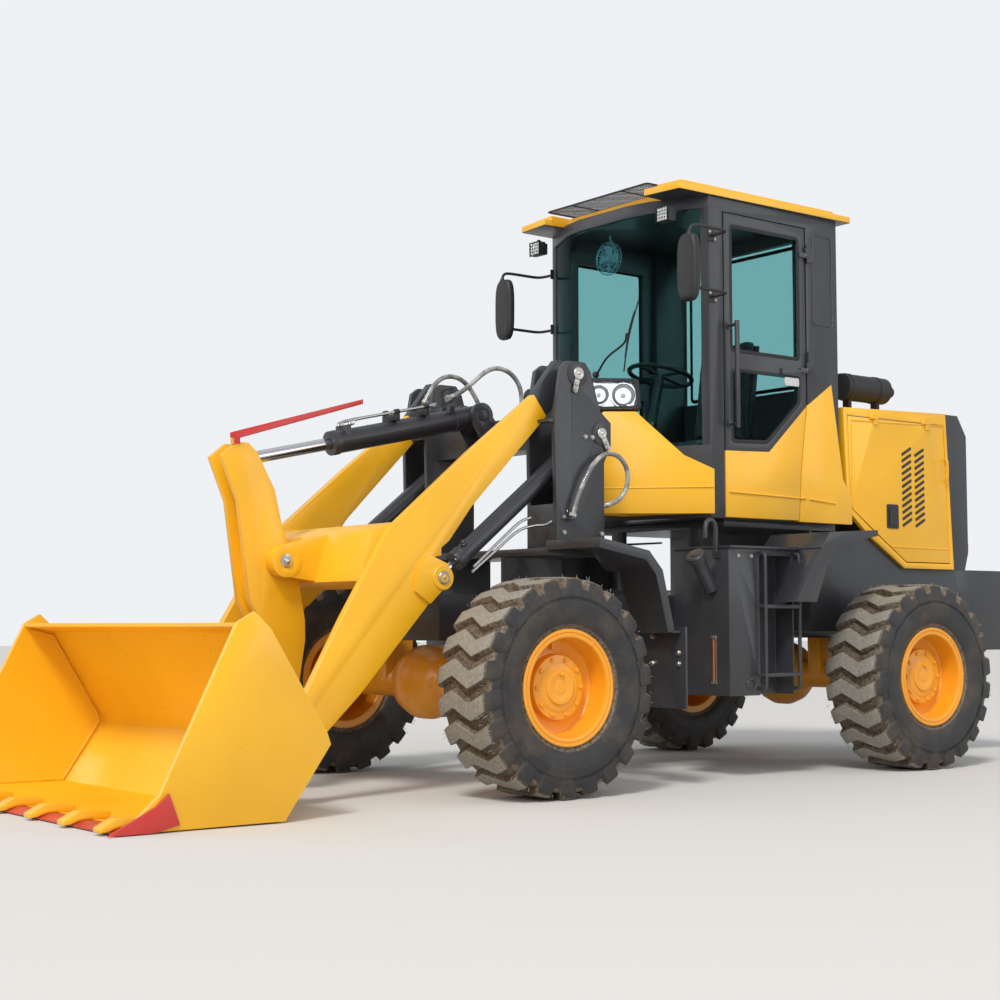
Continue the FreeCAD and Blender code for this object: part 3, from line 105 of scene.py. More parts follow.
studio = {
    "sunPower": 2.1, "sunAngle": 12, "sunFrom": (4.0, -5.5, 7.5), "sunColor": (1.0, 0.965, 0.91),
    "sky": 0.62, "skyColor": (0.93, 0.96, 1.0), "backdrop": (0.86, 0.88, 0.91),
    "floor": (0.62, 0.61, 0.585), "floorHalf": 60, "floorRough": 0.9, "panelAim": (0, 0, 1.2),
    "panels": [((9, -8, 6), 6, 260), ((9, 6, 5), 6, 150), ((-7, -7, 6), 6, 120)],
}


def addLight(name, kind, power, aim):
    data = bpy.data.lights.new(name, kind)
    data.energy = power
    light = newObject(name, data)
    light.rotation_euler = Vector(aim).to_track_quat("-Z", "Y").to_euler()
    return light


def makeStudio():
    scene = bpy.context.scene
    scene.view_settings.view_transform = "Standard"
    world = bpy.data.worlds.new("softRoom")
    scene.world = world
    world.use_nodes = True
    tree = world.node_tree
    tree.nodes.clear()
    path = addNode(tree, "LightPath").outputs
    seen = addNode(tree, "Math", [(0, path["Is Camera Ray"]), (1, path["Is Transmission Ray"])], operation="MAXIMUM")
    lit, shown = (addNode(tree, "Background", [("Color", (*color, 1)), ("Strength", strength)]).outputs[0]
                  for color, strength in ((studio["skyColor"], studio["sky"]), (studio["backdrop"], 1)))
    mix = addNode(tree, "MixShader", [(0, seen.outputs[0]), (1, lit), (2, shown)])
    addNode(tree, "OutputWorld", [(0, mix.outputs[0])])
    sun = addLight("sun", "SUN", studio["sunPower"], -Vector(studio["sunFrom"]))
    sun.data.angle = math.radians(studio["sunAngle"])
    sun.data.color = studio["sunColor"]
    for i, (place, size, power) in enumerate(studio["panels"]):
        panel = addLight("panel%d" % i, "AREA", power, Vector(studio["panelAim"]) - Vector(place))
        panel.data.size = size
        panel.location = place
    half = studio["floorHalf"]
    mesh = bpy.data.meshes.new("floor")
    mesh.from_pydata([(x * half, y * half, 0) for x, y in ((-1, -1), (1, -1), (1, 1), (-1, 1))], [], [(0, 1, 2, 3)])
    floor = newObject("floor", mesh)
    paleFloor = bpy.data.materials.new("paleFloor")
    paleFloor.use_nodes = True
    feed(paleFloor.node_tree, paleFloor.node_tree.nodes["Principled BSDF"],
         [("Base Color", (*studio["floor"], 1)), ("Roughness", studio["floorRough"])])
    mesh.materials.append(paleFloor)


makeCamera()
makeStudio()
print("camera and studio ready")


# shared shader effects
def nodeGroup(name, treeKind, inputs, outputs):
    group = bpy.data.node_groups.new(name, treeKind)
    for label, kind, value in inputs:
        socket = group.interface.new_socket(name=label, in_out="INPUT", socket_type="NodeSocket" + kind)
        if value is not None:
            socket.default_value = value
    for label, kind in outputs:
        group.interface.new_socket(name=label, in_out="OUTPUT", socket_type="NodeSocket" + kind)
    return group, group.nodes.new("NodeGroupInput").outputs, group.nodes.new("NodeGroupOutput")


def noise(tree, place, scale, detail=3.0, roughness=0.5):
    return addNode(tree, "TexNoise", [("Vector", place), ("Scale", scale), ("Detail", detail),
                                      ("Roughness", roughness)]).outputs["Fac"]


def ramp(tree, source, low, high, start=0.0, end=1.0):
    return addNode(tree, "MapRange", [("Value", source), ("From Min", low), ("From Max", high),
                                      ("To Min", start), ("To Max", end)]).outputs["Result"]


def times(tree, a, b, operation="MULTIPLY"):
    return addNode(tree, "Math", [(0, a), (1, b)], operation=operation, use_clamp=True).outputs[0]


def plus(tree, a, b):
    return times(tree, a, b, "ADD")


def mixColor(tree, amount, a, b):
    return addNode(tree, "Mix", [(0, amount), (6, a), (7, b)], data_type="RGBA").outputs[2]


def bump(tree, height, strength, distance):
    return addNode(tree, "Bump", [("Height", height), ("Strength", strength), ("Distance", distance)]).outputs[0]


def ownPlace(tree):
    return addNode(tree, "TexCoord").outputs["Object"]


def buildPaintGroup():
    # enamel with chipped edges, and dust that lies low down and on what faces up
    group, given, end = nodeGroup("paintedSheet", "ShaderNodeTree", [
        ("Color", "Color", (0.8, 0.4, 0.02, 1)), ("Dust Color", "Color", (0.3, 0.26, 0.2, 1)),
        ("Bare Color", "Color", (0.2, 0.19, 0.18, 1)), ("Dust", "Float", 0.3), ("Wear", "Float", 0.3),
        ("Gloss", "Float", 0.35), ("Edge Width", "Float", 0.006),
    ], [("Color", "Color"), ("Roughness", "Float"), ("Height", "Float")])
    place = ownPlace(group)
    broad, fine = noise(group, place, 1.3, 4.0), noise(group, place, 38.0, 5.0, 0.65)
    grain = noise(group, place, 260.0, 2.0)
    tinted = addNode(group, "Mix", [(0, 1.0), (6, given["Color"]), (7, ramp(group, broad, 0.3, 0.7, 0.9, 1.06))],
                     data_type="RGBA", blend_type="MULTIPLY")
    rounded = addNode(group, "Bevel", [("Radius", given["Edge Width"])], samples=4)
    flat = addNode(group, "NewGeometry").outputs["Normal"]
    turn = addNode(group, "VectorMath", [(0, rounded.outputs[0]), (1, flat)], operation="DOT_PRODUCT").outputs["Value"]
    edge = ramp(group, turn, 0.985, 0.9)
    chip = times(group, times(group, edge, ramp(group, fine, 0.5, 0.62)), given["Wear"])
    height, facing = (addNode(group, "SeparateXYZ", [(0, source)]).outputs["Z"] for source in (place, flat))
    low, settled = ramp(group, height, 1.2, 0.1, 0.25, 1.0), ramp(group, facing, 0.1, 1.0, 0.55, 1.0)
    patch = ramp(group, noise(group, place, 5.0, 6.0, 0.7), 0.38, 0.75)
    dust = times(group, times(group, times(group, low, settled), patch), given["Dust"])
    worn = mixColor(group, chip, tinted.outputs[2], given["Bare Color"])
    rough = plus(group, given["Gloss"], times(group, dust, 0.5))
    feed(group, end, [
        ("Color", mixColor(group, dust, worn, given["Dust Color"])),
        ("Roughness", plus(group, rough, ramp(group, fine, 0.3, 0.8, 0.0, 0.1))),
        ("Height", plus(group, times(group, grain, 0.35), times(group, broad, 0.5)))])
    return group


paintGroup = buildPaintGroup()


def newMaterial(name):
    material = bpy.data.materials.new(name)
    material.use_nodes = True
    tree = material.node_tree
    return material, tree, tree.nodes["Principled BSDF"]


def paint(name, color, dust=0.3, wear=0.3, gloss=0.32, coat=0.25, lift=0.0006, metal=0.0, bare=(0.16, 0.15, 0.14),
          dustColor=(0.33, 0.28, 0.21)):
    material, tree, shader = newMaterial(name)
    sheet = addNode(tree, "Group", [
        ("Color", (*color, 1)), ("Dust Color", (*dustColor, 1)), ("Bare Color", (*bare, 1)), ("Dust", dust),
        ("Wear", wear), ("Gloss", gloss)], node_tree=paintGroup).outputs
    feed(tree, shader, [
        ("Base Color", sheet["Color"]), ("Roughness", sheet["Roughness"]), ("Metallic", metal), ("Coat Weight", coat),
        ("Coat Roughness", 0.12), ("Normal", bump(tree, sheet["Height"], 0.5, lift))])
    return material


def makeGlass(name, color):
    material, tree, shader = newMaterial(name)
    smear = ramp(tree, noise(tree, ownPlace(tree), 4.0, 5.0), 0.5, 0.8, 0.02, 0.10)
    feed(tree, shader, [("Base Color", (*color, 1)), ("Roughness", smear), ("Transmission Weight", 1.0), ("IOR", 1.05)])
    return material


def makeTyreRubber():
    # dark sides with brown dust, dry tan lug tops and brown grooves, told apart by the tread attribute
    material, tree, shader = newMaterial("tyreRubber")
    place = ownPlace(tree)
    tread = addNode(tree, "Attribute", attribute_name="tread", attribute_type="GEOMETRY").outputs["Fac"]
    patch, fine = noise(tree, place, 7.0, 6.0, 0.65), noise(tree, place, 60.0, 4.0, 0.6)
    speck = noise(tree, place, 420.0, 2.0)
    side = mixColor(tree, ramp(tree, patch, 0.42, 0.72, 0.0, 0.6), (0.020, 0.021, 0.024, 1), (0.105, 0.080, 0.055, 1))
    groove = mixColor(tree, ramp(tree, fine, 0.35, 0.65), (0.055, 0.040, 0.028, 1), (0.19, 0.145, 0.10, 1))
    top = mixColor(tree, ramp(tree, fine, 0.3, 0.7), (0.20, 0.185, 0.155, 1), (0.31, 0.295, 0.25, 1))
    low = mixColor(tree, ramp(tree, tread, 0.08, 0.28), side, groove)
    grain = plus(tree, times(tree, fine, 0.6), times(tree, speck, 0.3))
    feed(tree, shader, [
        ("Base Color", mixColor(tree, ramp(tree, tread, 0.62, 0.92), low, top)),
        ("Roughness", ramp(tree, patch, 0.3, 0.7, 0.46, 0.78)), ("Normal", bump(tree, grain, 0.45, 0.002))])
    return material


def makeSleeve():
    # woven hose under a loose clear wrap: a fine braid from two slanted waves
    material, tree, shader = newMaterial("hoseSleeve")
    place = ownPlace(tree)
    weave = []
    for turn in (0.9, -0.9):
        wound = addNode(tree, "Mapping", [("Vector", place), ("Rotation", (turn, 0.4, turn))]).outputs[0]
        weave.append(addNode(tree, "TexWave", [("Vector", wound), ("Scale", 95.0), ("Distortion", 1.2),
                                               ("Detail", 1.0)]).outputs["Fac"])
    braid, patch = times(tree, *weave), noise(tree, place, 14.0, 4.0)
    base = mixColor(tree, ramp(tree, braid, 0.1, 0.7), (0.085, 0.088, 0.092, 1), (0.36, 0.365, 0.36, 1))
    feed(tree, shader, [
        ("Base Color", mixColor(tree, ramp(tree, patch, 0.45, 0.62), base, (0.42, 0.42, 0.40, 1))),
        ("Roughness", ramp(tree, patch, 0.3, 0.7, 0.22, 0.5)), ("Normal", bump(tree, braid, 0.6, 0.0015)),
        ("Coat Weight", 0.7), ("Coat Roughness", 0.08)])
    return material


def makeVinyl():
    # seat cover: grained dark vinyl with worn lighter patches
    material, tree, shader = newMaterial("seatVinyl")
    place = ownPlace(tree)
    cells = addNode(tree, "TexVoronoi", [("Vector", place), ("Scale", 420.0)]).outputs["Distance"]
    patch = noise(tree, place, 6.0, 4.0)
    feed(tree, shader, [
        ("Base Color", mixColor(tree, ramp(tree, patch, 0.4, 0.7), (0.020, 0.020, 0.022, 1), (0.050, 0.049, 0.048, 1))),
        ("Roughness", ramp(tree, patch, 0.3, 0.7, 0.42, 0.6)), ("Normal", bump(tree, cells, 0.5, 0.0006)),
        ("Sheen Weight", 0.2)])
    return material


finishes = {
    "yellow": paint("yellowEnamel", (0.88, 0.455, 0.010), dust=0.16, wear=0.12),
    "cleanYellow": paint("yellowEnamelClean", (0.90, 0.47, 0.010), dust=0.06, wear=0.08, gloss=0.26),
    # a darker, more orange copy of the yellow enamel for the axles, rims and hub bolts: painted shade
    "orange": paint("orangeEnamel", (0.84, 0.335, 0.010), dust=0.12, wear=0.1),
    "charcoal": paint("charcoalEnamel", (0.027, 0.029, 0.035), dust=0.2, wear=0.15, gloss=0.4,
                      bare=(0.2, 0.2, 0.2), dustColor=(0.2, 0.18, 0.15)),
    "darkIron": paint("darkIron", (0.018, 0.019, 0.022), dust=0.35, wear=0.2, gloss=0.55, coat=0.0,
                      dustColor=(0.16, 0.14, 0.11)),
    "red": paint("redEnamel", (0.56, 0.025, 0.02), dust=0.15, wear=0.35, gloss=0.36),
    "steel": paint("brightSteel", (0.56, 0.56, 0.55), dust=0.08, wear=0.1, gloss=0.24, coat=0.0, metal=1.0,
                   bare=(0.3, 0.29, 0.28)),
    "chrome": paint("rodChrome", (0.80, 0.81, 0.83), dust=0.03, wear=0.0, gloss=0.06, coat=0.0, metal=1.0,
                    lift=0.0001),
    "zinc": paint("zincBolt", (0.48, 0.47, 0.44), dust=0.15, wear=0.1, gloss=0.38, coat=0.0, metal=1.0),
    "plastic": paint("blackPlastic", (0.016, 0.016, 0.018), dust=0.1, wear=0.05, gloss=0.48, coat=0.0,
                     bare=(0.08, 0.08, 0.08), dustColor=(0.16, 0.15, 0.13)),
    "rubber": paint("sealRubber", (0.012, 0.012, 0.013), dust=0.12, wear=0.0, gloss=0.6, coat=0.0,
                    dustColor=(0.12, 0.11, 0.1)),
    "orangeTube": paint("gaugeTube", (0.42, 0.12, 0.03), dust=0.1, wear=0.0, gloss=0.15),
    "glass": makeGlass("tintedGlass", (0.42, 0.66, 0.66)),
    "lens": makeGlass("clearLens", (0.93, 0.95, 0.96)),
    "tyre": makeTyreRubber(),
    "whisker": paint("moldWhisker", (0.30, 0.29, 0.27), dust=0.1, wear=0.0, gloss=0.6, coat=0.0),
    "sleeve": makeSleeve(),
    "vinyl": makeVinyl(),
    "mirrorChrome": paint("lampChrome", (0.60, 0.62, 0.64), dust=0.0, wear=0.0, gloss=0.13, coat=0.0, metal=1.0,
                          lift=0.0001),
    "lampWhite": paint("lampCells", (0.70, 0.71, 0.68), dust=0.0, wear=0.0, gloss=0.2, coat=0.5),
    "redLens": paint("redLens", (0.42, 0.008, 0.006), dust=0.05, wear=0.0, gloss=0.12, coat=0.8),
    "fanPlastic": paint("fanPlastic", (0.30, 0.52, 0.62), dust=0.0, wear=0.0, gloss=0.35, coat=0.1),
}
print("finishes ready")


# forms: the add functions below each put one shape into a mesh that is being made
def anglesOf(count, extra=0):
    return [2 * math.pi * i / count for i in range(count + extra)]


def rect(u0, v0, u1, v1):
    return [(u0, v0), (u1, v0), (u1, v1), (u0, v1)]


def prism(count):
    # faces over corners that come as two outlines of as many points
    return [tuple(range(count)), tuple(range(2 * count - 1, count - 1, -1))] + [
        (i, i + count, (i + 1) % count + count, (i + 1) % count) for i in range(count)]


def addFaces(form, points, faces, finish=0):
    corners = [form.verts.new(p) for p in points]
    for face in faces:
        form.faces.new([corners[i] for i in face]).material_index = finish


def addBlock(form, low, high, finish=0, turn=None):
    points = [Vector((x, y, z)) for x in (low[0], high[0]) for y in (low[1], high[1]) for z in (low[2], high[2])]
    if turn is not None:
        points = [turn @ p for p in points]
    addFaces(form, points, [(0, 1, 3, 2), (4, 6, 7, 5), (0, 4, 5, 1), (2, 3, 7, 6), (0, 2, 6, 4), (1, 5, 7, 3)],
             finish)


def addPlate(form, outline, start, end, axis="x"):
    # outline: side view (y, z) for axis x, (x, z) for y, (x, y) for z
    place = {"x": lambda u, v, w: at(w, u, v), "y": lambda u, v, w: at(u, w, v), "z": at}[axis]
    addFaces(form, [place(u, v, w) for w in (start, end) for u, v in outline], prism(len(outline)))


def addSkin(form, rings, finish=0, caps=False, closed=False):
    # faces from ring to ring; a ring of one corner is a point
    for first, second in zip(rings, rings[1:] + rings[:closed]):
        sides = max(len(first), len(second))
        for i in range(sides):
            j = (i + 1) % sides
            corners = dict.fromkeys((first[i % len(first)], first[j % len(first)],
                                     second[j % len(second)], second[i % len(second)]))
            if len(corners) > 2:
                form.faces.new(list(corners)).material_index = finish
    for ring in (rings[0], rings[-1]) if caps else ():
        form.faces.new(ring).material_index = finish


def frameOf(direction):
    return Vector(direction).normalized().to_track_quat("Z", "X").to_matrix()


def addTurned(form, profile, center, direction, sides=32, finish=0, closed=False):
    # profile: (distance along the direction, radius) pairs; a zero radius closes an end
    axes = frameOf(direction)
    rings = [[form.verts.new(center + axes @ Vector((radius * math.cos(a), radius * math.sin(a), along)))
              for a in anglesOf(sides if radius else 1)] for along, radius in profile]
    addSkin(form, rings, finish, closed=closed)


def smoothPath(points, steps=6):
    points = [Vector(p) for p in points]
    padded = [points[0] * 2 - points[1]] + points + [points[-1] * 2 - points[-2]]
    line = []
    for a, b, c, d in zip(padded, padded[1:], padded[2:], padded[3:]):
        for k in range(steps):
            t = k / steps
            line.append(0.5 * ((2 * b) + (c - a) * t + (2 * a - 5 * b + 4 * c - d) * t * t
                               + (3 * b - a - 3 * c + d) * t ** 3))
    return line + [points[-1]]


def addTube(form, line, radius, sides=14, ends=True):
    side = (line[1] - line[0]).normalized().orthogonal().normalized()
    rings = []
    for i, point in enumerate(line):
        ahead = (line[min(i + 1, len(line) - 1)] - line[max(i - 1, 0)]).normalized()
        side = (side - ahead * side.dot(ahead)).normalized()
        up = ahead.cross(side)
        thick = radius(i / (len(line) - 1)) if callable(radius) else radius
        rings.append([form.verts.new(point + thick * (math.cos(a) * side + math.sin(a) * up))
                      for a in anglesOf(sides)])
    addSkin(form, rings, caps=ends)


def addLine(form, path, radius, sides=12, steps=5, side=1):
    # a bent tube through points that are given as for at()
    addTube(form, smoothPath([at(side * x, y, z) for x, y, z in path], steps), radius, sides)


def addBoss(form, place, side, inner, outer, high, sides):
    # a raised ring round a pin
    addTurned(form, [(0, inner), (0, outer), (high, outer), (high + 0.003, outer - 0.003),
                     (high + 0.003, inner + 0.002), (high, inner)], place, (side, 0, 0), sides, closed=True)


def addDisc(form, place, side, radius, high, slope, sides=24):
    # a disc with a sloped rim; slope: its rise and its width
    addTurned(form, [(0, 0), (0, radius), (high, radius), (high + slope[0], radius - slope[1]),
                     (high + slope[0], 0)], place, (side, 0, 0), sides)


def smoothed(mesh, angle):
    for face in mesh.polygons:
        face.use_smooth = True
    mesh.set_sharp_from_angle(angle=math.radians(angle))


def closeForm(form, name, smooth=32):
    bmesh.ops.remove_doubles(form, verts=form.verts, dist=0.00002)
    bmesh.ops.recalc_face_normals(form, faces=form.faces)
    mesh = bpy.data.meshes.new(name)
    form.to_mesh(mesh)
    form.free()
    smoothed(mesh, smooth)
    return newObject(name, mesh)


def baked(piece, smooth=None):
    # the piece with its modifiers applied
    bpy.context.view_layer.update()
    mesh = bpy.data.meshes.new_from_object(piece.evaluated_get(bpy.context.evaluated_depsgraph_get()))
    piece.modifiers.clear()
    piece.data = mesh
    if smooth is not None:
        smoothed(mesh, smooth)
    return piece


def rounded(piece, width, segments=2, limit=30):
    mod = piece.modifiers.new("edges", "BEVEL")
    mod.width = width
    mod.segments = segments
    mod.limit_method = "ANGLE"
    mod.angle_limit = math.radians(limit)
    return baked(piece, 40)


def fit(piece, finish, body, stands=()):
    if not piece.data.materials:
        for name in [finish] if isinstance(finish, str) else finish:
            piece.data.materials.append(finishes[name])
    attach(piece, body)
    if stands:
        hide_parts(stands)
    return piece


def finished(form, name, finish, body, stands=(), smooth=32, edge=0):
    piece = closeForm(form, name, smooth)
    if edge:
        rounded(piece, edge)
    return fit(piece, finish, body, stands)


def cadForm(node):
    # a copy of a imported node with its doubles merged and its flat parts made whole
    form = bmesh.new()
    form.from_mesh(cadNodes[node].data)
    bmesh.ops.remove_doubles(form, verts=form.verts, dist=0.00002)
    bmesh.ops.dissolve_limit(form, angle_limit=math.radians(1.0), verts=form.verts, edges=form.edges)
    return form


def dressed(node, finish, edge=0.003, extra=None, segments=2):
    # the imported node's own shape, with rounded edges and any extra forms
    piece = closeForm(cadForm(node), node + "Shape")
    if edge:
        rounded(piece, edge, segments)
    if extra:
        more = bmesh.new()
        more.from_mesh(piece.data)
        extra(more)
        bpy.data.objects.remove(piece)
        piece = closeForm(more, node + "Shape")
    return fit(piece, finish, bodyOf[node], node)


def formTree(name, inputs=()):
    inputs = [("Geometry", "Geometry", None), ("Form", "Object", None), ("Finish", "Material", None), *inputs]
    tree, given, end = nodeGroup(name, "GeometryNodeTree", inputs, [("Geometry", "Geometry")])
    tree.is_modifier = True
    return tree, given, end


def closeTree(tree, given, end, links):
    # the copies set on their points, made real and given their finish
    form = newNode(tree, "GeometryNodeObjectInfo", [("Object", given["Form"])])
    copies = newNode(tree, "GeometryNodeInstanceOnPoints", [("Instance", form.outputs["Geometry"]), *links])
    real = newNode(tree, "GeometryNodeRealizeInstances", [("Geometry", copies.outputs[0])])
    done = newNode(tree, "GeometryNodeSetMaterial", [("Geometry", real.outputs[0]), ("Material", given["Finish"])])
    feed(tree, end, [(0, done.outputs[0])])
    return tree


def buildStamp():
    # one copy on each point, its Z turned along the point's "aim" and scaled by its "size"
    tree, given, end = formTree("stampOnPoints")
    aim, size = (newNode(tree, "GeometryNodeInputNamedAttribute", [("Name", name)], data_type="FLOAT_VECTOR")
                 for name in ("aim", "size"))
    turn = newNode(tree, "FunctionNodeAlignRotationToVector", [("Vector", aim.outputs[0])], axis="Z")
    return closeTree(tree, given, end, [("Points", given["Geometry"]), ("Rotation", turn.outputs[0]),
                                        ("Scale", size.outputs[0])])


def buildRing():
    # copies round the X axis
    tree, given, end = formTree("ringOfForms", [("Count", "Int", 22)])
    index = newNode(tree, "GeometryNodeInputIndex")
    share = addNode(tree, "Math", [(0, index.outputs[0]), (1, given["Count"])], operation="DIVIDE")
    turns = addNode(tree, "Math", [(0, share.outputs[0]), (1, 2 * math.pi)], operation="MULTIPLY")
    angle = addNode(tree, "CombineXYZ", [("X", turns.outputs[0])])
    points = newNode(tree, "GeometryNodePoints", [("Count", given["Count"])])
    return closeTree(tree, given, end, [("Points", points.outputs[0]), ("Rotation", angle.outputs[0])])


def buildRow():
    # copies in columns: "Step" leads up a column and "Column Step" to the next one
    tree, given, end = formTree("rowsOfForms", [
        ("Count", "Int", 5), ("Columns", "Int", 1), ("First", "Vector", (0, 0, 0)),
        ("Step", "Vector", (0, 0, 0.1)), ("Column Step", "Vector", (0, 0.1, 0))])

    def calc(operation, a, b, kind="Math", second=1):
        return addNode(tree, kind, [(0, a), (second, b)], operation=operation).outputs[0]

    index = newNode(tree, "GeometryNodeInputIndex").outputs[0]
    column = calc("FLOOR", calc("DIVIDE", index, given["Count"]), 0)
    along = calc("SCALE", given["Step"], calc("MODULO", index, given["Count"]), "VectorMath", "Scale")
    across = calc("SCALE", given["Column Step"], column, "VectorMath", "Scale")
    place = calc("ADD", calc("ADD", along, across, "VectorMath"), given["First"], "VectorMath")
    points = newNode(tree, "GeometryNodePoints", [
        ("Count", calc("MULTIPLY", given["Count"], given["Columns"])), ("Position", place)])
    return closeTree(tree, given, end, [("Points", points.outputs[0])])


stampTree, ringTree, rowTree = buildStamp(), buildRing(), buildRow()


def runTree(mesh, tree, values, smooth=32):
    piece = newObject(mesh.name, mesh)
    mod = piece.modifiers.new("made", "NODES")
    mod.node_group = tree
    for item in tree.interface.items_tree:
        if item.item_type == "SOCKET" and item.in_out == "INPUT" and item.name in values:
            mod[item.identifier] = values[item.name]
    return baked(piece, smooth)


def stamped(name, form, spots, finish, body):
    # spots: (place, aim, size) for each copy; size is a number or (x, y, z)
    mesh = bpy.data.meshes.new(name)
    mesh.vertices.add(len(spots))
    aim, size = (mesh.attributes.new(kind, "FLOAT_VECTOR", "POINT") for kind in ("aim", "size"))
    for i, (place, toward, scale) in enumerate(spots):
        mesh.vertices[i].co = place
        aim.data[i].vector = Vector(toward).normalized()
        size.data[i].vector = (scale, scale, scale) if isinstance(scale, (int, float)) else scale
    fit(runTree(mesh, stampTree, {"Form": form, "Finish": finishes[finish]}), finish, body)


def discard(*forms):
    for form in forms:
        bpy.data.objects.remove(form)


def boltForm():
    # a hexagon head, a washer and a stub, one unit across the washer
    form = bmesh.new()
    for profile, sides in (([(0, 0), (0, 0.5), (0.09, 0.5), (0.09, 0.4)], 20),
                           ([(0.08, 0.44), (0.36, 0.44), (0.42, 0.38), (0.42, 0)], 6),
                           ([(0.4, 0.2), (0.5, 0.2), (0.52, 0.17), (0.52, 0)], 12)):
        addTurned(form, profile, Vector(), (0, 0, 1), sides)
    return closeForm(form, "boltTemplate")


bolt = boltForm()
print("tools ready")
# tyres and rims are formed about the wheel's own centre, axle along X, and then set in place
wheel = {"radius": 0.5375, "floor": 0.5025, "lugs": 22, "lugHalf": 0.044, "footHalf": 0.052, "zigzag": 0.030,
         "treadHalf": 0.186, "track": 0.9905, "base": 1.3835, "comb": 190, "whiskers": 260, "bolts": 10,
         "boltCircle": 0.1385, "boltFace": 0.0895, "smooth": 38}
wheelCorners = [("front_left", 1, -1), ("front_right", -1, -1), ("rear_left", 1, 1), ("rear_right", -1, 1)]
axle = Vector((1, 0, 0))


def tyreBase():
    # closed section from the outer bead over the tread to the inner bead and back inside
    half = [(0.165, 0.255), (0.165, 0.293), (0.170, 0.299), (0.184, 0.312), (0.194, 0.335), (0.200, 0.362),
            (0.2018, 0.392), (0.2024, 0.3925), (0.2024, 0.3955), (0.2014, 0.396), (0.2010, 0.406), (0.2018, 0.4065),
            (0.2018, 0.409), (0.2004, 0.4095), (0.1975, 0.432), (0.1955, 0.4515), (0.188, 0.474), (0.176, 0.497),
            (0.168, wheel["floor"] + 0.0005), (0.09, wheel["floor"] + 0.0015)]
    inner = [(-0.137, 0.255), (-0.168, 0.40), (-0.13, 0.462), (0.13, 0.462), (0.168, 0.40), (0.137, 0.255)]
    section = half + [(-x, r) for x, r in reversed(half)] + inner
    form = bmesh.new()
    addTurned(form, section, Vector(), axle, 132, closed=True)
    return closeForm(form, "tyreBase", wheel["smooth"])


def zigzagAt(x):
    knots = [(-0.206, -1), (-0.062, 1), (0.062, -1), (0.206, 1)]
    for (low, start), (high, end) in zip(knots, knots[1:]):
        if x <= high:
            return wheel["zigzag"] * (start + (end - start) * (x - low) / (high - low))
    return wheel["zigzag"]


def lugForm():
    # stations across the tread: (place, top radius, foot radius, share of the full width)
    stations = [(0.2005, 0.4555, 0.44, 0.62), (0.1990, 0.462, 0.44, 0.74), (0.1945, 0.492, 0.45, 0.86),
                (0.1880, 0.520, 0.47, 0.95), (0.1800, 0.5300, 0.48, 1.0), (0.1735, 0.5335, 0.49, 1.0),
                (0.120, 0.5362, 0.498, 1.0), (0.066, 0.5372, 0.498, 1.0), (0.058, 0.5373, 0.498, 1.0),
                (0.020, 0.5375, 0.498, 1.0)]
    stations = [(-x, *rest) for x, *rest in stations] + [(x, *rest) for x, *rest in reversed(stations)]
    form = bmesh.new()
    rows = []
    for x, top, foot, share in stations:
        middle = zigzagAt(x)
        half, wide = wheel["lugHalf"] * share, wheel["footHalf"] * share
        section = [(-wide, foot), (-half - 0.001, top - 0.007), (-half + 0.004, top), (-half * 0.3, top),
                   (half * 0.3, top), (half - 0.004, top), (half + 0.001, top - 0.007), (wide, foot)]
        rows.append([form.verts.new((x, middle + v, math.sqrt(r * r - (middle + v) ** 2))) for v, r in section])
    for first, second in zip(rows, rows[1:]):
        for i in range(len(first) - 1):
            form.faces.new((first[i], first[i + 1], second[i + 1], second[i]))
    form.faces.new(rows[0])
    form.faces.new(rows[-1])
    return closeForm(form, "lugTemplate")


def ringOf(form, name, count):
    values = {"Form": form, "Count": count, "Finish": finishes["tyre"]}
    return runTree(bpy.data.meshes.new(name), ringTree, values, wheel["smooth"])


def rimForm():
    # from the hidden back of the hub round the bed to the dish and the hub's face
    profile = [(-0.058, 0), (-0.058, 0.156), (-0.05, 0.159), (0.03, 0.159), (0.03, 0.241), (-0.168, 0.241),
               (-0.174, 0.246), (-0.1745, 0.279), (-0.171, 0.2845), (-0.165, 0.2835), (-0.165, 0.254),
               (0.165, 0.254), (0.165, 0.2832), (0.1685, 0.2848), (0.1725, 0.2838), (0.1748, 0.280),
               (0.1748, 0.2705), (0.1725, 0.2675), (0.1700, 0.2665), (0.1700, 0.2630), (0.1735, 0.2610),
               (0.1740, 0.2510), (0.1715, 0.2450), (0.1660, 0.2420), (0.1500, 0.2405), (0.1300, 0.2390),
               (0.0700, 0.2345), (0.0550, 0.2310), (0.0465, 0.2230), (0.0440, 0.2120), (0.0440, 0.1720),
               (0.0460, 0.1640), (0.0520, 0.1600), (0.0830, 0.1590), (0.0885, 0.1570), (0.0905, 0.1520),
               (0.0905, 0.1250), (0.0925, 0.1200), (0.0960, 0.1150), (0.0975, 0.1000), (0.0985, 0.0900),
               (0.1010, 0.0860), (0.1060, 0.0840), (0.1085, 0.0800), (0.1090, 0.0540), (0.1075, 0.0500),
               (0.1075, 0.0320), (0.1095, 0.0290), (0.1095, 0)]
    form = bmesh.new()
    addTurned(form, profile, Vector(), axle, 96)
    # lock ring's slit, valve with its cap, drain plug on the hub
    for turn, low, high, half, face in ((-0.62, 0.2455, 0.2852, 0.0035, 0.1755), (0.05, 0.186, 0.214, 0.009, 0.064)):
        addBlock(form, (face - 0.016, -half, low), (face, half, high), 1, Matrix.Rotation(turn, 3, "X"))
    addDisc(form, Vector((0.1075, 0, 0.066)), 1, 0.012, 0.012, (0.002, 0.003), 6)
    return closeForm(form, "rimForm", 30)


def hubBolts():
    angles = (a + math.pi / wheel["bolts"] for a in anglesOf(wheel["bolts"]))
    circle = wheel["boltCircle"]
    return [(Vector((wheel["boltFace"], circle * math.sin(a), circle * math.cos(a))), axle, 0.026) for a in angles]


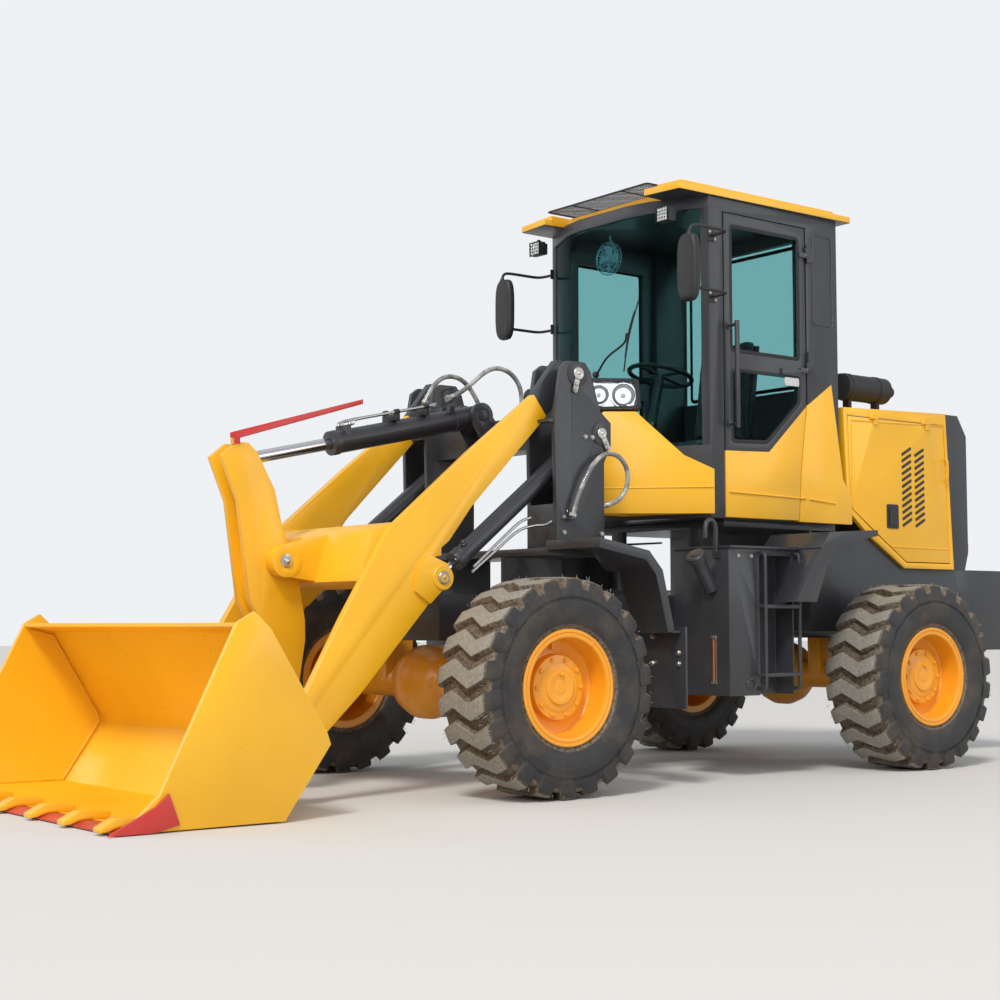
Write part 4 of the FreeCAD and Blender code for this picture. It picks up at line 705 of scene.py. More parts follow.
def placed(form, matrix, name, finish, body, stands):
    mesh = form.data.copy()
    mesh.materials.clear()
    mesh.transform(matrix)
    fit(newObject(name, mesh), finish, body, stands)


def joinedForms(forms, name):
    form = bmesh.new()
    for source in forms:
        form.from_mesh(source.data)
    mesh = bpy.data.meshes.new(name)
    form.to_mesh(mesh)
    form.free()
    mesh.set_sharp_from_angle(angle=math.radians(wheel["smooth"]))
    discard(*forms)
    return newObject(name, mesh)


def markTread(mesh):
    # 1 on the lugs' tops, about a half on the tread's floor, nothing on the sides
    layer = mesh.attributes.new("tread", "FLOAT", "POINT")
    for i, vertex in enumerate(mesh.vertices):
        x, y, z = vertex.co
        radius = math.hypot(y, z)
        if abs(x) > wheel["treadHalf"] - 0.004:
            layer.data[i].value = 0.0
        elif radius > wheel["radius"] - 0.0045:
            layer.data[i].value = 1.0
        else:
            layer.data[i].value = 0.45 if radius < 0.513 else 0.3


def whiskerSpots(count, seed):
    # the thin rubber hairs that the mould leaves at the shoulders
    chance = random.Random(seed)
    spots = []
    while len(spots) < count:
        angle = chance.uniform(0, 2 * math.pi)
        side = chance.choice((-1, 1))
        x, radius = side * chance.uniform(0.120, 0.190), chance.uniform(0.512, 0.534)
        long = chance.uniform(0.014, 0.030)
        outward = Vector((0, math.sin(angle), math.cos(angle)))
        lean = Vector((side * chance.uniform(-0.5, 0.25), chance.uniform(-0.5, 0.5), chance.uniform(-0.5, 0.5)))
        aim = (outward + lean * 0.7).normalized()
        start = Vector((x, 0, 0)) + outward * radius
        tip = start + aim * long
        if tip.z > -wheel["radius"] + 0.006 and abs(tip.x) < 0.2:
            spots.append((start, aim, (0.0014, 0.0014, long)))
    return spots
def makeWheels():
    lug, comb, whisker = lugForm(), bmesh.new(), bmesh.new()
    addBlock(comb, (0.196, -0.0016, 0.428), (0.2012, 0.0016, 0.444))
    comb = closeForm(comb, "combTemplate")
    addTurned(whisker, [(0, 1), (0.6, 0.8), (1, 0)], Vector(), (0, 0, 1), 4)
    whisker = closeForm(whisker, "whiskerTemplate")
    parts = [tyreBase(), ringOf(lug, "lugs", wheel["lugs"]), ringOf(comb, "comb", wheel["comb"])]
    tyreForm = joinedForms(parts, "tyreWhole")
    markTread(tyreForm.data)
    rim = rimForm()
    for index, (name, side, end) in enumerate(wheelCorners):
        matrix = Matrix.Translation(at(side * wheel["track"], end * wheel["base"], wheel["radius"]))
        if side < 0:
            matrix = matrix @ Matrix.Rotation(math.pi, 4, "Z")
        body, turn = "wheel_" + name, matrix.to_3x3()
        placed(tyreForm, matrix, "tyre_shape_" + name, "tyre", body, "tyre_" + name)
        # the rims and their bolts take the darker copy of the yellow enamel, painted shade
        placed(rim, matrix, "rim_shape_" + name, ["orange", "plastic"], body, "rim_" + name)
        for label, form, spots, finish, slotName in (
                ("rim_bolts_", bolt, hubBolts(), "orange", "yellow_paint"),
                ("tyre_whiskers_", whisker, whiskerSpots(wheel["whiskers"], index), "whisker", "tyre")):
            spots = [(matrix @ place, turn @ aim, size) for place, aim, size in spots]
            stamped(label + name, form, spots, finish, body)
    discard(lug, comb, whisker, tyreForm, rim)


makeWheels()
print("wheels ready")

# hoses: the routes are the ones of the construction, in metres
hoseRoutes = {
    "tilt_hose_left": [(0.088, -1.335, 2.055), (0.088, -1.250, 2.092), (0.090, -1.165, 2.155),
                       (0.094, -1.085, 2.222), (0.098, -1.026, 2.251), (0.102, -0.962, 2.254),
                       (0.106, -0.902, 2.231), (0.109, -0.857, 2.186), (0.111, -0.834, 2.126),
                       (0.112, -0.833, 2.051), (0.112, -0.828, 1.968)],
    "tilt_hose_right": [(-0.088, -1.354, 2.046), (-0.088, -1.325, 2.110), (-0.088, -1.285, 2.163),
                        (-0.090, -1.232, 2.203), (-0.093, -1.168, 2.218), (-0.096, -1.105, 2.208),
                        (-0.099, -1.050, 2.176), (-0.102, -1.006, 2.129), (-0.105, -0.968, 2.074),
                        (-0.107, -0.936, 2.015), (-0.108, -0.910, 1.960)],
    "lift_hose": [(0.722, -0.987, 1.400), (0.724, -0.966, 1.468), (0.727, -0.936, 1.537),
                  (0.730, -0.902, 1.604), (0.731, -0.862, 1.668), (0.730, -0.808, 1.722),
                  (0.727, -0.740, 1.750), (0.723, -0.666, 1.742), (0.717, -0.607, 1.699),
                  (0.708, -0.578, 1.633), (0.696, -0.584, 1.564), (0.684, -0.622, 1.509),
                  (0.672, -0.682, 1.480), (0.663, -0.741, 1.477)],
}
hose = {"thick": 0.026, "lengths": {"tilt_hose_left": 0.778, "tilt_hose_right": 0.652, "lift_hose": 0.922},
        "ferrule": 0.0165, "ferruleLong": 0.050, "nut": 0.021, "nutLong": 0.022}


def hoseFitting(form, end, inner):
    # crimped ferrule with its rings and a nut, over the hose's end
    aim = (inner - end).normalized()
    r, long, nut, nutLong = hose["ferrule"], hose["ferruleLong"], hose["nut"], hose["nutLong"]
    profile = [(0.020, 0), (0.020, r)]
    for k in range(4):
        start = 0.024 + k * (long - 0.028) / 4
        profile += [(start, r), (start + 0.002, r - 0.0016), (start + 0.004, r - 0.0016), (start + 0.006, r)]
    addTurned(form, profile + [(long, r), (long + 0.002, r - 0.002), (long + 0.002, 0)], end, aim, 28)
    addTurned(form, [(0.001, 0), (0.001, nut - 0.002), (0.003, nut), (nutLong - 0.002, nut), (nutLong, nut - 0.002),
                     (nutLong, 0)], end, aim, 6)


def makeHose(name):
    route = [at(*p) for p in hoseRoutes[name]]
    curve = bpy.data.curves.new(name + "Line", "CURVE")
    curve.dimensions = "3D"
    curve.bevel_depth = hose["thick"] / 2
    curve.bevel_resolution = 5
    curve.use_fill_caps = True
    curve.resolution_u = 16
    spline = curve.splines.new("NURBS")
    spline.points.add(len(route) - 1)
    for point, place in zip(spline.points, route):
        point.co = (*place, 1)
    spline.order_u = 3
    spline.use_endpoint_u = True
    curve.materials.append(finishes["sleeve"])
    piece = newObject(name + "_line", curve)
    form = bmesh.new()
    hoseFitting(form, route[0], route[1])
    hoseFitting(form, route[-1], route[-2])
    fittings = finished(form, name + "_fittings", "zinc", "front_chassis")
    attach(piece, "front_chassis")
    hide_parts(name)


for name in hoseRoutes:
    makeHose(name)
print("hoses ready")

# loader arm, tower and cylinders
boomTone = {"on": (0, -1.0945, 1.9835), "toward": (0, 0.789, 0.614)}
pins = {"boom": (-0.924, 2.161), "lift": (-1.740, 1.076), "liftBase": (-0.762, 1.855)}


def splitTone(form):
    plane, toward = at(*boomTone["on"]), Vector(boomTone["toward"])
    bmesh.ops.bisect_plane(form, geom=form.verts[:] + form.edges[:] + form.faces[:], dist=0.00005, plane_co=plane,
                           plane_no=toward)
    for face in form.faces:
        if (face.calc_center_median() - plane).dot(toward) > 0.0002:
            face.material_index = 1


def pinHead(form, x, spot, side, radius, out):
    # domed head with a chamfer, a turned groove and a grease nipple
    profile = [(0, 0), (0, 1), (0.7, 1), (1, 0.88), (1, 0.62), (0.86, 0.58), (0.86, 0.26), (1, 0.22), (1.3, 0.12),
               (1.3, 0)]
    addTurned(form, [(out * a, radius * r) for a, r in profile], at(side * x, *spot), (side, 0, 0), 40)


def boomExtra(form):
    splitTone(form)
    for side, name in bothSides:
        addBoss(form, at(side * 0.614, *pins["lift"]), side, 0.032, 0.062, 0.006, 48)


def towerExtra(form):
    for side, name in bothSides:
        # doubler discs round the pins on the outer plates, a ledge on the inner ones
        for spot, radius in ((pins["boom"], 0.066), (pins["liftBase"], 0.060)):
            addDisc(form, at(side * 0.6935, *spot), side, radius, 0.005, (0.002, 0.003), 48)
        low, high = sorted((side * 0.694, side * 0.452))
        addBlock(form, at(low + 0.006, -1.118, 1.896), at(high - 0.006, -1.080, 1.912))


def boomPins():
    form = bmesh.new()
    for side, name in bothSides:
        pinHead(form, 0.616, pins["lift"], side, 0.033, 0.016)
    finished(form, "lift_pin_heads", "zinc", "lift_arm")


towerPin = {"face": 0.7, "plate": 0.694, "keeperThick": 0.006, "heads": (("boom", 0.034, 0.012, -0.25),
                                                                          ("liftBase", 0.030, 0.011, 0.5)),
            "keeper": [(-0.016, 0.016), (-0.016, -0.092), (-0.009, -0.104), (0.009, -0.104), (0.016, -0.092),
                       (0.016, 0.016)]}


def towerPins():
    form, spots = bmesh.new(), []
    face = towerPin["face"]
    for side, name in bothSides:
        outward = (side, 0, 0)
        for pin, radius, out, lean in towerPin["heads"]:
            pinHead(form, face, pins[pin], side, radius, out)
            # the keeper plate that locks the pin, with its two bolts
            turn = Matrix.Rotation(lean, 3, "X")
            top = face + towerPin["keeperThick"]
            corners = [at(side * x, *pins[pin]) + turn @ Vector((0, u, v)) for x in (face, top)
                       for u, v in towerPin["keeper"]]
            addFaces(form, corners, prism(len(towerPin["keeper"])))
            for down in (-0.060, -0.088):
                spots.append((at(side * top, *pins[pin]) + turn @ Vector((0, 0, down)), outward, 0.024))
        for y, z in ((-0.872, 1.83), (-0.823, 1.83), (-1.02, 1.32), (-1.02, 1.40), (-0.76, 1.32)):
            spots.append((at(side * towerPin["plate"], y, z), outward, 0.026))
    finished(form, "tower_pin_heads", "zinc", "front_chassis")
    stamped("tower_bolts", bolt, spots, "zinc", "front_chassis")


dressed("boom", ["yellow", "charcoal"], 0.004, boomExtra)
boomPins()
dressed("loader_tower", "charcoal", 0.003, towerExtra)
towerPins()
print("arm and tower ready")

# seat: the two padded parts are swelled as cloth inside the space of their solids
seat = {"voxel": 0.006, "pressure": 4.0, "frames": 20, "cap": 0.024, "shrink": 0.012, "stretch": 12, "bend": 0.6,
        "seam": 0.006}


def islandsOf(form):
    left, groups = set(form.verts), []
    while left:
        stack, group = [left.pop()], []
        while stack:
            vertex = stack.pop()
            group.append(vertex)
            for edge in vertex.link_edges:
                other = edge.other_vert(vertex)
                if other in left:
                    left.remove(other)
                    stack.append(other)
        groups.append(group)
    return groups


def padForm(index, name):
    form = cadForm("seat_cushion")
    groups = sorted(islandsOf(form), key=lambda g: sum(v.co.z for v in g) / len(g))
    for other, group in enumerate(groups):
        if other != index:
            bmesh.ops.delete(form, geom=group, context="VERTS")
    middle = sum((v.co for v in form.verts), Vector()) / len(form.verts)
    for vertex in form.verts:
        away = vertex.co - middle
        vertex.co -= Vector([math.copysign(min(seat["shrink"], abs(a) * 0.5), a) for a in away])
    bmesh.ops.bevel(form, geom=form.edges[:], offset=0.018, segments=3, affect="EDGES", profile=0.5)
    return closeForm(form, name, 180)


def swelled(piece):
    remesh = piece.modifiers.new("cells", "REMESH")
    remesh.mode = "VOXEL"
    remesh.voxel_size = seat["voxel"]
    baked(piece)
    rest = [v.co.copy() for v in piece.data.vertices]
    cloth = piece.modifiers.new("swell", "CLOTH")
    cloth.settings.use_pressure = True
    cloth.settings.uniform_pressure_force = seat["pressure"]
    cloth.settings.effector_weights.gravity = 0
    cloth.settings.tension_stiffness = cloth.settings.compression_stiffness = seat["stretch"]
    cloth.settings.bending_stiffness = seat["bend"]
    cloth.point_cache.frame_start = 1
    cloth.point_cache.frame_end = seat["frames"]
    for number in range(1, seat["frames"] + 1):
        bpy.context.scene.frame_set(number)
    baked(piece)
    bpy.context.scene.frame_set(1)
    for vertex, start in zip(piece.data.vertices, rest):
        move = vertex.co - start
        if move.length > seat["cap"]:
            vertex.co = start + move * (seat["cap"] / move.length)
    return piece


def makePad(index, name, channels):
    piece = swelled(padForm(index, name))
    low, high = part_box("seat_cushion")
    # sewn channels press lines into the cover, and the underside stays flat on its base
    for vertex in piece.data.vertices:
        co = vertex.co
        pressed = sum(math.exp(-((co.x - c) / seat["seam"]) ** 2) for c in channels)
        if index == 0:
            if co.z > low[2] + 0.07:
                co.z -= 0.007 * pressed
            co.z = max(co.z, low[2] + 0.0005)
        elif co.y < (low[1] + high[1]) / 2 + 0.3 and abs(co.x) < 0.19:
            co.y += 0.006 * pressed
    smooth = piece.modifiers.new("fine", "SUBSURF")
    smooth.levels = smooth.render_levels = 1
    fit(baked(piece, 180), "vinyl", "chassis", "seat_cushion")


makePad(0, "seat_pad", (-0.12, -0.04, 0.04, 0.12))
makePad(1, "seat_back", (-0.11, 0.0, 0.11))
print("seat ready")

# rocker, cylinders and their steel lines
rockerShape = {"barLow": 0.064, "barHigh": 0.082, "barFloor": 1.742, "shaft": (-2.360, 1.160)}
lift = {"x": 0.573, "radius": 0.048, "bands": (1.062, 0.135), "bandWide": 0.022, "ports": (0.17, 1.03),
        "portTurn": 1.15}
tilt = {"base": (-1.092, 1.986), "top": (-2.559, 1.659), "radius": 0.060, "bands": (0.905, 0.13), "bandWide": 0.024,
        "linesX": (-0.052, 0.052), "aim": (0, -0.97, -0.22),
        "line": ((0.575, 0.080), (0.56, 0.098), (0.52, 0.104), (0.40, 0.104), (0.30, 0.104), (0.24, 0.104),
                 (0.205, 0.102))}


def rockerExtra(form):
    for face in form.faces:
        middle = face.calc_center_median()
        if rockerShape["barLow"] < middle.x < rockerShape["barHigh"] and middle.z > rockerShape["barFloor"]:
            face.material_index = 1
    for side, name in bothSides:
        addBoss(form, at(side * 0.081, *rockerShape["shaft"]), side, 0.044, 0.066, 0.005, 44)


def rockerPinExtra(form):
    for side, name in bothSides:
        addTurned(form, [(0, 0.020), (0.008, 0.020), (0.010, 0.017), (0.010, 0.007), (0.017, 0.005), (0.017, 0)],
                  at(side * 0.1555, *rockerShape["shaft"]), (side, 0, 0), 28)


def barrelBands(form, first, aim, radius, marks, wide):
    for mark in marks:
        addTurned(form, [(0, radius - 0.002), (0, radius + 0.003), (0.002, radius + 0.005),
                         (wide - 0.002, radius + 0.005), (wide, radius + 0.003), (wide, radius - 0.002)],
                  first + aim * mark, aim, 48, closed=True)


def makeLiftCylinder(side, name):
    first = at(side * lift["x"], *pins["liftBase"])
    aim = (at(side * lift["x"], *pins["lift"]) - first).normalized()

    def barrelExtra(form):
        barrelBands(form, first, aim, lift["radius"], lift["bands"], lift["bandWide"])
        # welded port blocks with their unions, standing off the barrel
        out, r = Matrix.Rotation(side * lift["portTurn"], 3, aim) @ Vector((1, 0, 0)), lift["radius"]
        for mark in lift["ports"]:
            for profile, sides in (
                    ([(-0.004, 0.017), (0.008, 0.017), (0.010, 0.015), (0.010, 0.0)], 20),
                    ([(0.008, 0.0), (0.008, 0.0125), (0.022, 0.0125), (0.024, 0.010), (0.024, 0.0)], 6)):
                addTurned(form, [(r + a, wide) for a, wide in profile], first + aim * mark, out, sides)
    dressed("lift_barrel_" + name, "charcoal", 0.002, barrelExtra)
    dressed("lift_rod_" + name, "chrome", 0.002)


def makeLiftLines():
    # two steel lines that run up beside the left lift cylinder
    form = bmesh.new()
    for path in (
            [(0.640, -1.576, 1.107), (0.638, -1.430, 1.214), (0.636, -1.286, 1.318), (0.636, -1.180, 1.352),
             (0.640, -1.105, 1.360), (0.655, -1.055, 1.385), (0.672, -1.020, 1.412), (0.690, -0.992, 1.432)],
            [(0.632, -1.560, 1.135), (0.630, -1.400, 1.262), (0.628, -1.265, 1.365), (0.628, -1.190, 1.395)]):
        addLine(form, path, 0.0075)
    finished(form, "lift_lines", "steel", "front_chassis")


def tiltPoint(share, up=0.0, x=0.0):
    y, z = (low + (high - low) * share for low, high in zip(tilt["base"], tilt["top"]))
    return at(x, y, z + up)


def tiltBarrelExtra(form):
    first = at(0, *tilt["base"])
    aim = (at(0, *tilt["top"]) - first).normalized()
    barrelBands(form, first, aim, tilt["radius"], tilt["bands"], tilt["bandWide"])
    corner = Vector((0.015, 0.015, 0))
    for x in tilt["linesX"]:
        for share in (0.12, 0.575):
            addBlock(form, tiltPoint(share, 0.030, x * 0.7) - corner, tiltPoint(share, 0.080, x * 0.7) + corner)


def makeTiltLines():
    # two steel tubes run over the barrel from its gland back to the hoses, held by two clamps
    form = bmesh.new()
    for x in tilt["linesX"]:
        addTube(form, smoothPath([tiltPoint(share, up, x) for share, up in tilt["line"]], 5), 0.0085, 14)
        for share, up in ((0.205, 0.102), (0.565, 0.090)):
            addTurned(form, [(-0.016, 0), (-0.016, 0.013), (-0.002, 0.0145), (0.012, 0.013), (0.012, 0)],
                      tiltPoint(share, up, x), tilt["aim"], 6)
    finished(form, "tilt_lines", "steel", "tilt_barrel")
    clamp = bmesh.new()
    for share in (0.24, 0.37):
        spot = tiltPoint(share)
        addBlock(clamp, spot + Vector((-0.066, -0.014, 0.056)), spot + Vector((0.066, 0.014, 0.092)))
        for x in tilt["linesX"]:
            addTurned(clamp, [(-0.014, 0.009), (-0.014, 0.0155), (0.014, 0.0155), (0.014, 0.009)],
                      spot + Vector((x, 0, 0.104)), tilt["aim"], 20, closed=True)
    finished(clamp, "tilt_line_clamps", "plastic", "tilt_barrel", edge=0.004)


dressed("rocker", ["yellow", "red"], 0.003, rockerExtra)
dressed("rocker_pin", "steel", 0.002, rockerPinExtra)
for side, name in bothSides:
    makeLiftCylinder(side, name)
makeLiftLines()
dressed("tilt_barrel", "charcoal", 0.002, tiltBarrelExtra)
dressed("tilt_rod", "chrome", 0.002)
makeTiltLines()
print("cylinders ready")

# lamps: headlamps in their clusters, work lamps with light cells, red tail lamps
# bowls: place (a, c), radius, depth, how far it is sunk, radius of its bulb
headlamp = {"corner": (0.3797, -0.1808, 2.033), "long": 0.351, "deep": 0.120, "high": 0.195,
            "along": (-0.618, -0.786), "out": (0.786, -0.618),
            "bowls": ((0.106, 0.094, 0.066, 0.040, 0.020, 0.014), (0.243, 0.098, 0.056, 0.036, 0.022, 0.012))}


def lampPoint(side, a, b, c):
    # a runs along the lamp's face, b out of it and c up
    x, y = (corner + a * along + b * out for corner, along, out
            in zip(headlamp["corner"], headlamp["along"], headlamp["out"]))
    return at(side * x, y, headlamp["corner"][2] + c)


def roundOutline(points, radius, steps=5):
    # the corners of a flat outline rounded off by short curves
    line = []
    for i, corner in enumerate(points):
        corner, before, after = (Vector(p) for p in (corner, points[i - 1], points[(i + 1) % len(points)]))
        start, end = (corner + (other - corner).normalized() * radius for other in (before, after))
        for k in range(steps + 1):
            t = k / steps
            line.append(tuple(start * (1 - t) ** 2 + corner * 2 * t * (1 - t) + end * t * t))
    return line


def inset(points, amount):
    middle = sum((Vector(p) for p in points), Vector((0, 0))) / len(points)
    half = [(max(values) - min(values)) / 2 for values in zip(*points)]
    return [tuple(middle[i] + (p[i] - middle[i]) * (1 - amount / half[i]) for i in (0, 1)) for p in points]


def lampRings(form, side, rings, caps=False):
    # rings: (outline, depth) pairs joined into one skin
    made = [[form.verts.new(lampPoint(side, a, b, c)) for a, c in outline] for outline, b in rings]
    addSkin(form, made, caps=caps)
    return made


def lampBowl(form, side, a, c, radius, depth, front):
    # a fluted reflector: rings that deepen towards its lamp
    steps, flutes, rings = 8, 8, []
    for k in range(steps + 1):
        share = 1 - k / steps
        r = radius * (0.16 + 0.84 * share)
        waves = [(angle, r * (1 + 0.012 * math.cos(flutes * angle) * (k % 2))) for angle in anglesOf(40)]
        rings.append(([(a + wave * math.cos(angle), c + wave * math.sin(angle)) for angle, wave in waves],
                      front - depth * (1 - share ** 2)))
    form.faces.new(lampRings(form, side, rings)[-1])


def makeHeadlamp(side, name):
    long, deep, high = headlamp["long"], headlamp["deep"], headlamp["high"]
    outer = roundOutline([(0.004, 0.012), (long - 0.050, 0.002), (long - 0.004, 0.052), (long - 0.010, high - 0.030),
                          (long - 0.060, high - 0.002), (0.020, high - 0.006)], 0.022)

    def part(form, label, finish, stands=(), smooth=32):
        finished(form, "headlamp_" + label + "_" + name, finish, "chassis", stands, smooth)

    case, tray, bulbs, lens = (bmesh.new() for k in range(4))
    lampRings(case, side, [(inset(outer, 0.004), 0.002), (outer, 0.010), (outer, deep - 0.018),
                           (inset(outer, 0.008), deep - 0.006), (inset(outer, 0.022), deep - 0.006),
                           (inset(outer, 0.022), deep - 0.075)], caps=True)
    part(case, "case", "plastic", "lamps")
    # bright tray with two rimmed bowls
    rings = [(inset(outer, 0.024), deep - 0.012), (inset(outer, 0.030), deep - 0.045)]
    tray.faces.new(lampRings(tray, side, rings)[-1])
    for a, c, r, depth, sunk, bulb in headlamp["bowls"]:
        lampBowl(tray, side, a, c, r, depth, deep - sunk)
        ring, wide = ([(a + x * math.cos(t), c + x * math.sin(t)) for t in anglesOf(40)] for x in (r, r + 0.005))
        lampRings(tray, side, [(ring, deep - 0.020), (ring, deep - 0.016), (wide, deep - 0.016), (wide, deep - 0.046)])
    part(tray, "tray", "mirrorChrome", smooth=50)
    spots = [(a, c, 0.058, 0.024, [(0, 0), (0, r), (0.018, r), (0.026, r * 0.8), (0.032, r * 0.35), (0.033, 0)], 20)
             for a, c, *rest, r in headlamp["bowls"]]
    spots += [(0.314, 0.050 + k * 0.022, 0.040, 0.020, [(0, 0), (0, 0.006), (0.008, 0.006), (0.013, 0.004), (0.015, 0)],
               16) for k in range(5)]
    for a, c, back, front, profile, sides in spots:
        place = lampPoint(side, a, deep - back, c)
        addTurned(bulbs, profile, place, lampPoint(side, a, deep - front, c) - place, sides)
    part(bulbs, "bulbs", "lampWhite")
    lampRings(lens, side, [(inset(outer, 0.010), deep - 0.010), (inset(outer, 0.011), deep - 0.003),
                           (inset(outer, 0.040), deep - 0.001)], caps=True)
    part(lens, "lens", "lens", smooth=40)


def makeWorkLamp(side, name):
    x, y, z = side * 0.568, -0.150, 3.1475
    case, cells, pane = (bmesh.new() for k in range(3))
    addPlate(case, [(x - 0.046, z - 0.040), (x + 0.046, z - 0.040), (x + 0.047, z + 0.041), (x - 0.047, z + 0.041)],
             y - 0.030, y + 0.012, "y")
    # cooling fins, a bezel round the lens and the two lugs of the bracket
    blocks = [((-0.042 + k * 0.013, 0.012, -0.034), (-0.036 + k * 0.013, 0.034, 0.034)) for k in range(7)]
    blocks += [((x0, -0.038, z0), (x1, -0.028, z1)) for x0, z0, x1, z1 in (
        (-0.047, -0.042, 0.047, -0.037), (-0.047, 0.037, 0.047, 0.042), (-0.047, -0.042, -0.042, 0.042),
        (0.042, -0.042, 0.047, 0.042))]
    blocks += [((dx, -0.010, 0.030), (dx + 0.004, 0.010, 0.060)) for dx in (-0.006, 0.002)]
    for low, high in blocks:
        addBlock(case, *(at(x + dx, y + dy, z + dz) for dx, dy, dz in (low, high)))
    finished(case, "work_lamp_case_" + name, "plastic", "chassis", "lamps", edge=0.0015)
    for column in range(4):
        for row in range(4):
            center = at(x - 0.031 + column * 0.0207, y - 0.0305, z - 0.0285 + row * 0.019)
            addTurned(cells, [(0, 0), (0, 0.0094), (0.004, 0.0085), (0.006, 0.004), (0.0065, 0)], center,
                      (0, -1, 0), 16)
    finished(cells, "work_lamp_cells_" + name, "lampWhite", "chassis")
    addBlock(pane, at(x - 0.043, y - 0.0385, z - 0.038), at(x + 0.043, y - 0.0375, z + 0.038))
    finished(pane, "work_lamp_pane_" + name, "lens", "chassis")


def makeTailLamp(side, name):
    x, z = side * 0.565, 1.340
    base, lens = bmesh.new(), bmesh.new()
    addPlate(base, roundOutline(rect(x - 0.025, z - 0.030, x + 0.025, z + 0.030), 0.006), 2.487, 2.497, "y")
    finished(base, "tail_lamp_base_" + name, "plastic", "chassis", "lamps")
    for k in range(5):
        low = z - 0.026 + k * 0.0106
        addPlate(lens, rect(x - 0.021, low, x + 0.021, low + 0.0096), 2.496, 2.509, "y")
    finished(lens, "tail_lamp_lens_" + name, "redLens", "chassis", edge=0.002)


for side, name in bothSides:
    makeHeadlamp(side, name)
    makeWorkLamp(side, name)
    makeTailLamp(side, name)
print("lamps ready")

# mirrors: rounded shells on bent arms; shell: share of the depth and of the full size
mirror = {"x": 0.8175, "z": 2.80, "halfWide": 0.0775, "halfHigh": 0.190, "front": -0.250, "back": -0.205,
          "shell": ((0.0, 0.62), (0.04, 0.78), (0.16, 0.90), (0.34, 0.97), (0.6, 1.0), (0.86, 1.0), (0.97, 0.985),
                    (1.0, 0.95)),
          "arms": ([(0.690, 0.079, 3.039), (0.760, 0.076, 3.039), (0.812, 0.066, 3.039), (0.834, 0.030, 3.039),
                    (0.836, -0.060, 3.039), (0.836, -0.170, 3.038), (0.835, -0.212, 3.028), (0.833, -0.229, 3.000),
                    (0.832, -0.230, 2.960)],
                   [(0.690, 0.079, 2.689), (0.760, 0.076, 2.689), (0.812, 0.066, 2.689), (0.834, 0.030, 2.689),
                    (0.836, -0.060, 2.689), (0.836, -0.150, 2.689), (0.834, -0.214, 2.689)]),
          "levels": (3.039, 2.689)}


def makeMirror(side, name):
    front, back = mirror["front"], mirror["back"]

    def outline(wide, high, power=3.4):
        # an oval that is squared by its power
        line = []
        for a in anglesOf(44):
            u, v = (math.copysign(abs(part) ** (2 / power), part) for part in (math.cos(a), math.sin(a)))
            line.append((side * mirror["x"] + mirror["halfWide"] * wide * u,
                         mirror["z"] + mirror["halfHigh"] * high * v))
        return line

    def stack(form, layers):
        addSkin(form, [[form.verts.new(at(x, y, z)) for x, z in ring] for ring, y in layers], caps=True)

    form, glass = bmesh.new(), bmesh.new()
    layers = [(outline(grow, 1 - (1 - grow) * 0.5), front + (back - front) * share) for share, grow in mirror["shell"]]
    stack(form, layers + [(outline(0.90, 0.955), back), (outline(0.89, 0.95), back - 0.006)])
    for arm in mirror["arms"]:
        addLine(form, arm, 0.0088, 14, 4, side)
    for level in mirror["levels"]:
        addPlate(form, rect(0.048, level - 0.030, 0.110, level + 0.030), side * 0.690, side * 0.698)
    # rubber boot where the arm enters the shell
    addTurned(form, [(0, 0.010), (0, 0.019), (0.010, 0.019), (0.030, 0.012), (0.030, 0.010)],
              at(side * 0.832, -0.230, 2.968), (0, 0, 1), 20, closed=True)
    finished(form, "mirror_shell_" + name, "plastic", "chassis", "mirrors", 40)
    stack(glass, [(outline(0.88, 0.945), back - 0.006), (outline(0.87, 0.94), back - 0.001)])
    finished(glass, "mirror_glass_" + name, "mirrorChrome", "chassis")
    spots = [(at(side * 0.698, y, level + dz), (side, 0, 0), 0.018) for level in mirror["levels"]
             for y, dz in ((0.060, 0.019), (0.100, -0.019))]
    stamped("mirror_bolts_" + name, bolt, spots, "zinc", "chassis")


for side, name in bothSides:
    makeMirror(side, name)
print("mirrors ready")

# cab: seals round the windows, door hardware, wiper, fan and grab rail
cab = {"door": rect(0.235, 2.40, 0.800, 3.12), "rear": rect(-0.560, 2.300, 0.560, 3.170), "side": 0.6905,
       "doorLow": [(0.235, 1.88), (0.52, 1.89), (0.80, 2.142), (0.80, 2.29), (0.235, 2.29)], "sealFace": 0.6895}


def sealLoop(form, outline, face, wide, thick, axis="x"):
    # a soft round strip that follows an opening's edge, its corners rounded
    line = roundOutline(outline, 0.028, 6)
    points = [at(face, u, v) if axis == "x" else at(u, face, v) for u, v in line]
    out = Vector((1, 0, 0)) if axis == "x" else Vector((0, 1, 0))
    rings = []
    for i, point in enumerate(points):
        across = (points[(i + 1) % len(points)] - points[i - 1]).normalized().cross(out).normalized()
        rings.append([form.verts.new(point + across * wide * math.cos(a) + out * thick * math.sin(a))
                      for a in anglesOf(8)])
    addSkin(form, rings, closed=True)


def makeSeals():
    for side, name, body in ((1, "door_seals", "cab_door"), (-1, "cab_seals", "chassis")):
        form = bmesh.new()
        for outline in (cab["door"], cab["doorLow"]):
            sealLoop(form, outline, side * cab["sealFace"], 0.011, 0.004)
        if side < 0:
            sealLoop(form, cab["rear"], 1.141, 0.012, 0.005, "y")
        finished(form, name, "rubber", body, smooth=50)


def makeDoorLock():
    # lock plate with its keyhole, and the pull's plate below it
    form = bmesh.new()
    addPlate(form, roundOutline(rect(0.655, 2.300, 0.795, 2.330), 0.008), 0.690, 0.697)
    addDisc(form, at(0.697, 0.760, 2.315), 1, 0.009, 0.004, (0.001, 0.002), 20)
    addPlate(form, roundOutline(rect(0.668, 2.236, 0.792, 2.284), 0.010), 0.6895, 0.694)
    finished(form, "door_lock_plates", "steel", "cab_door")


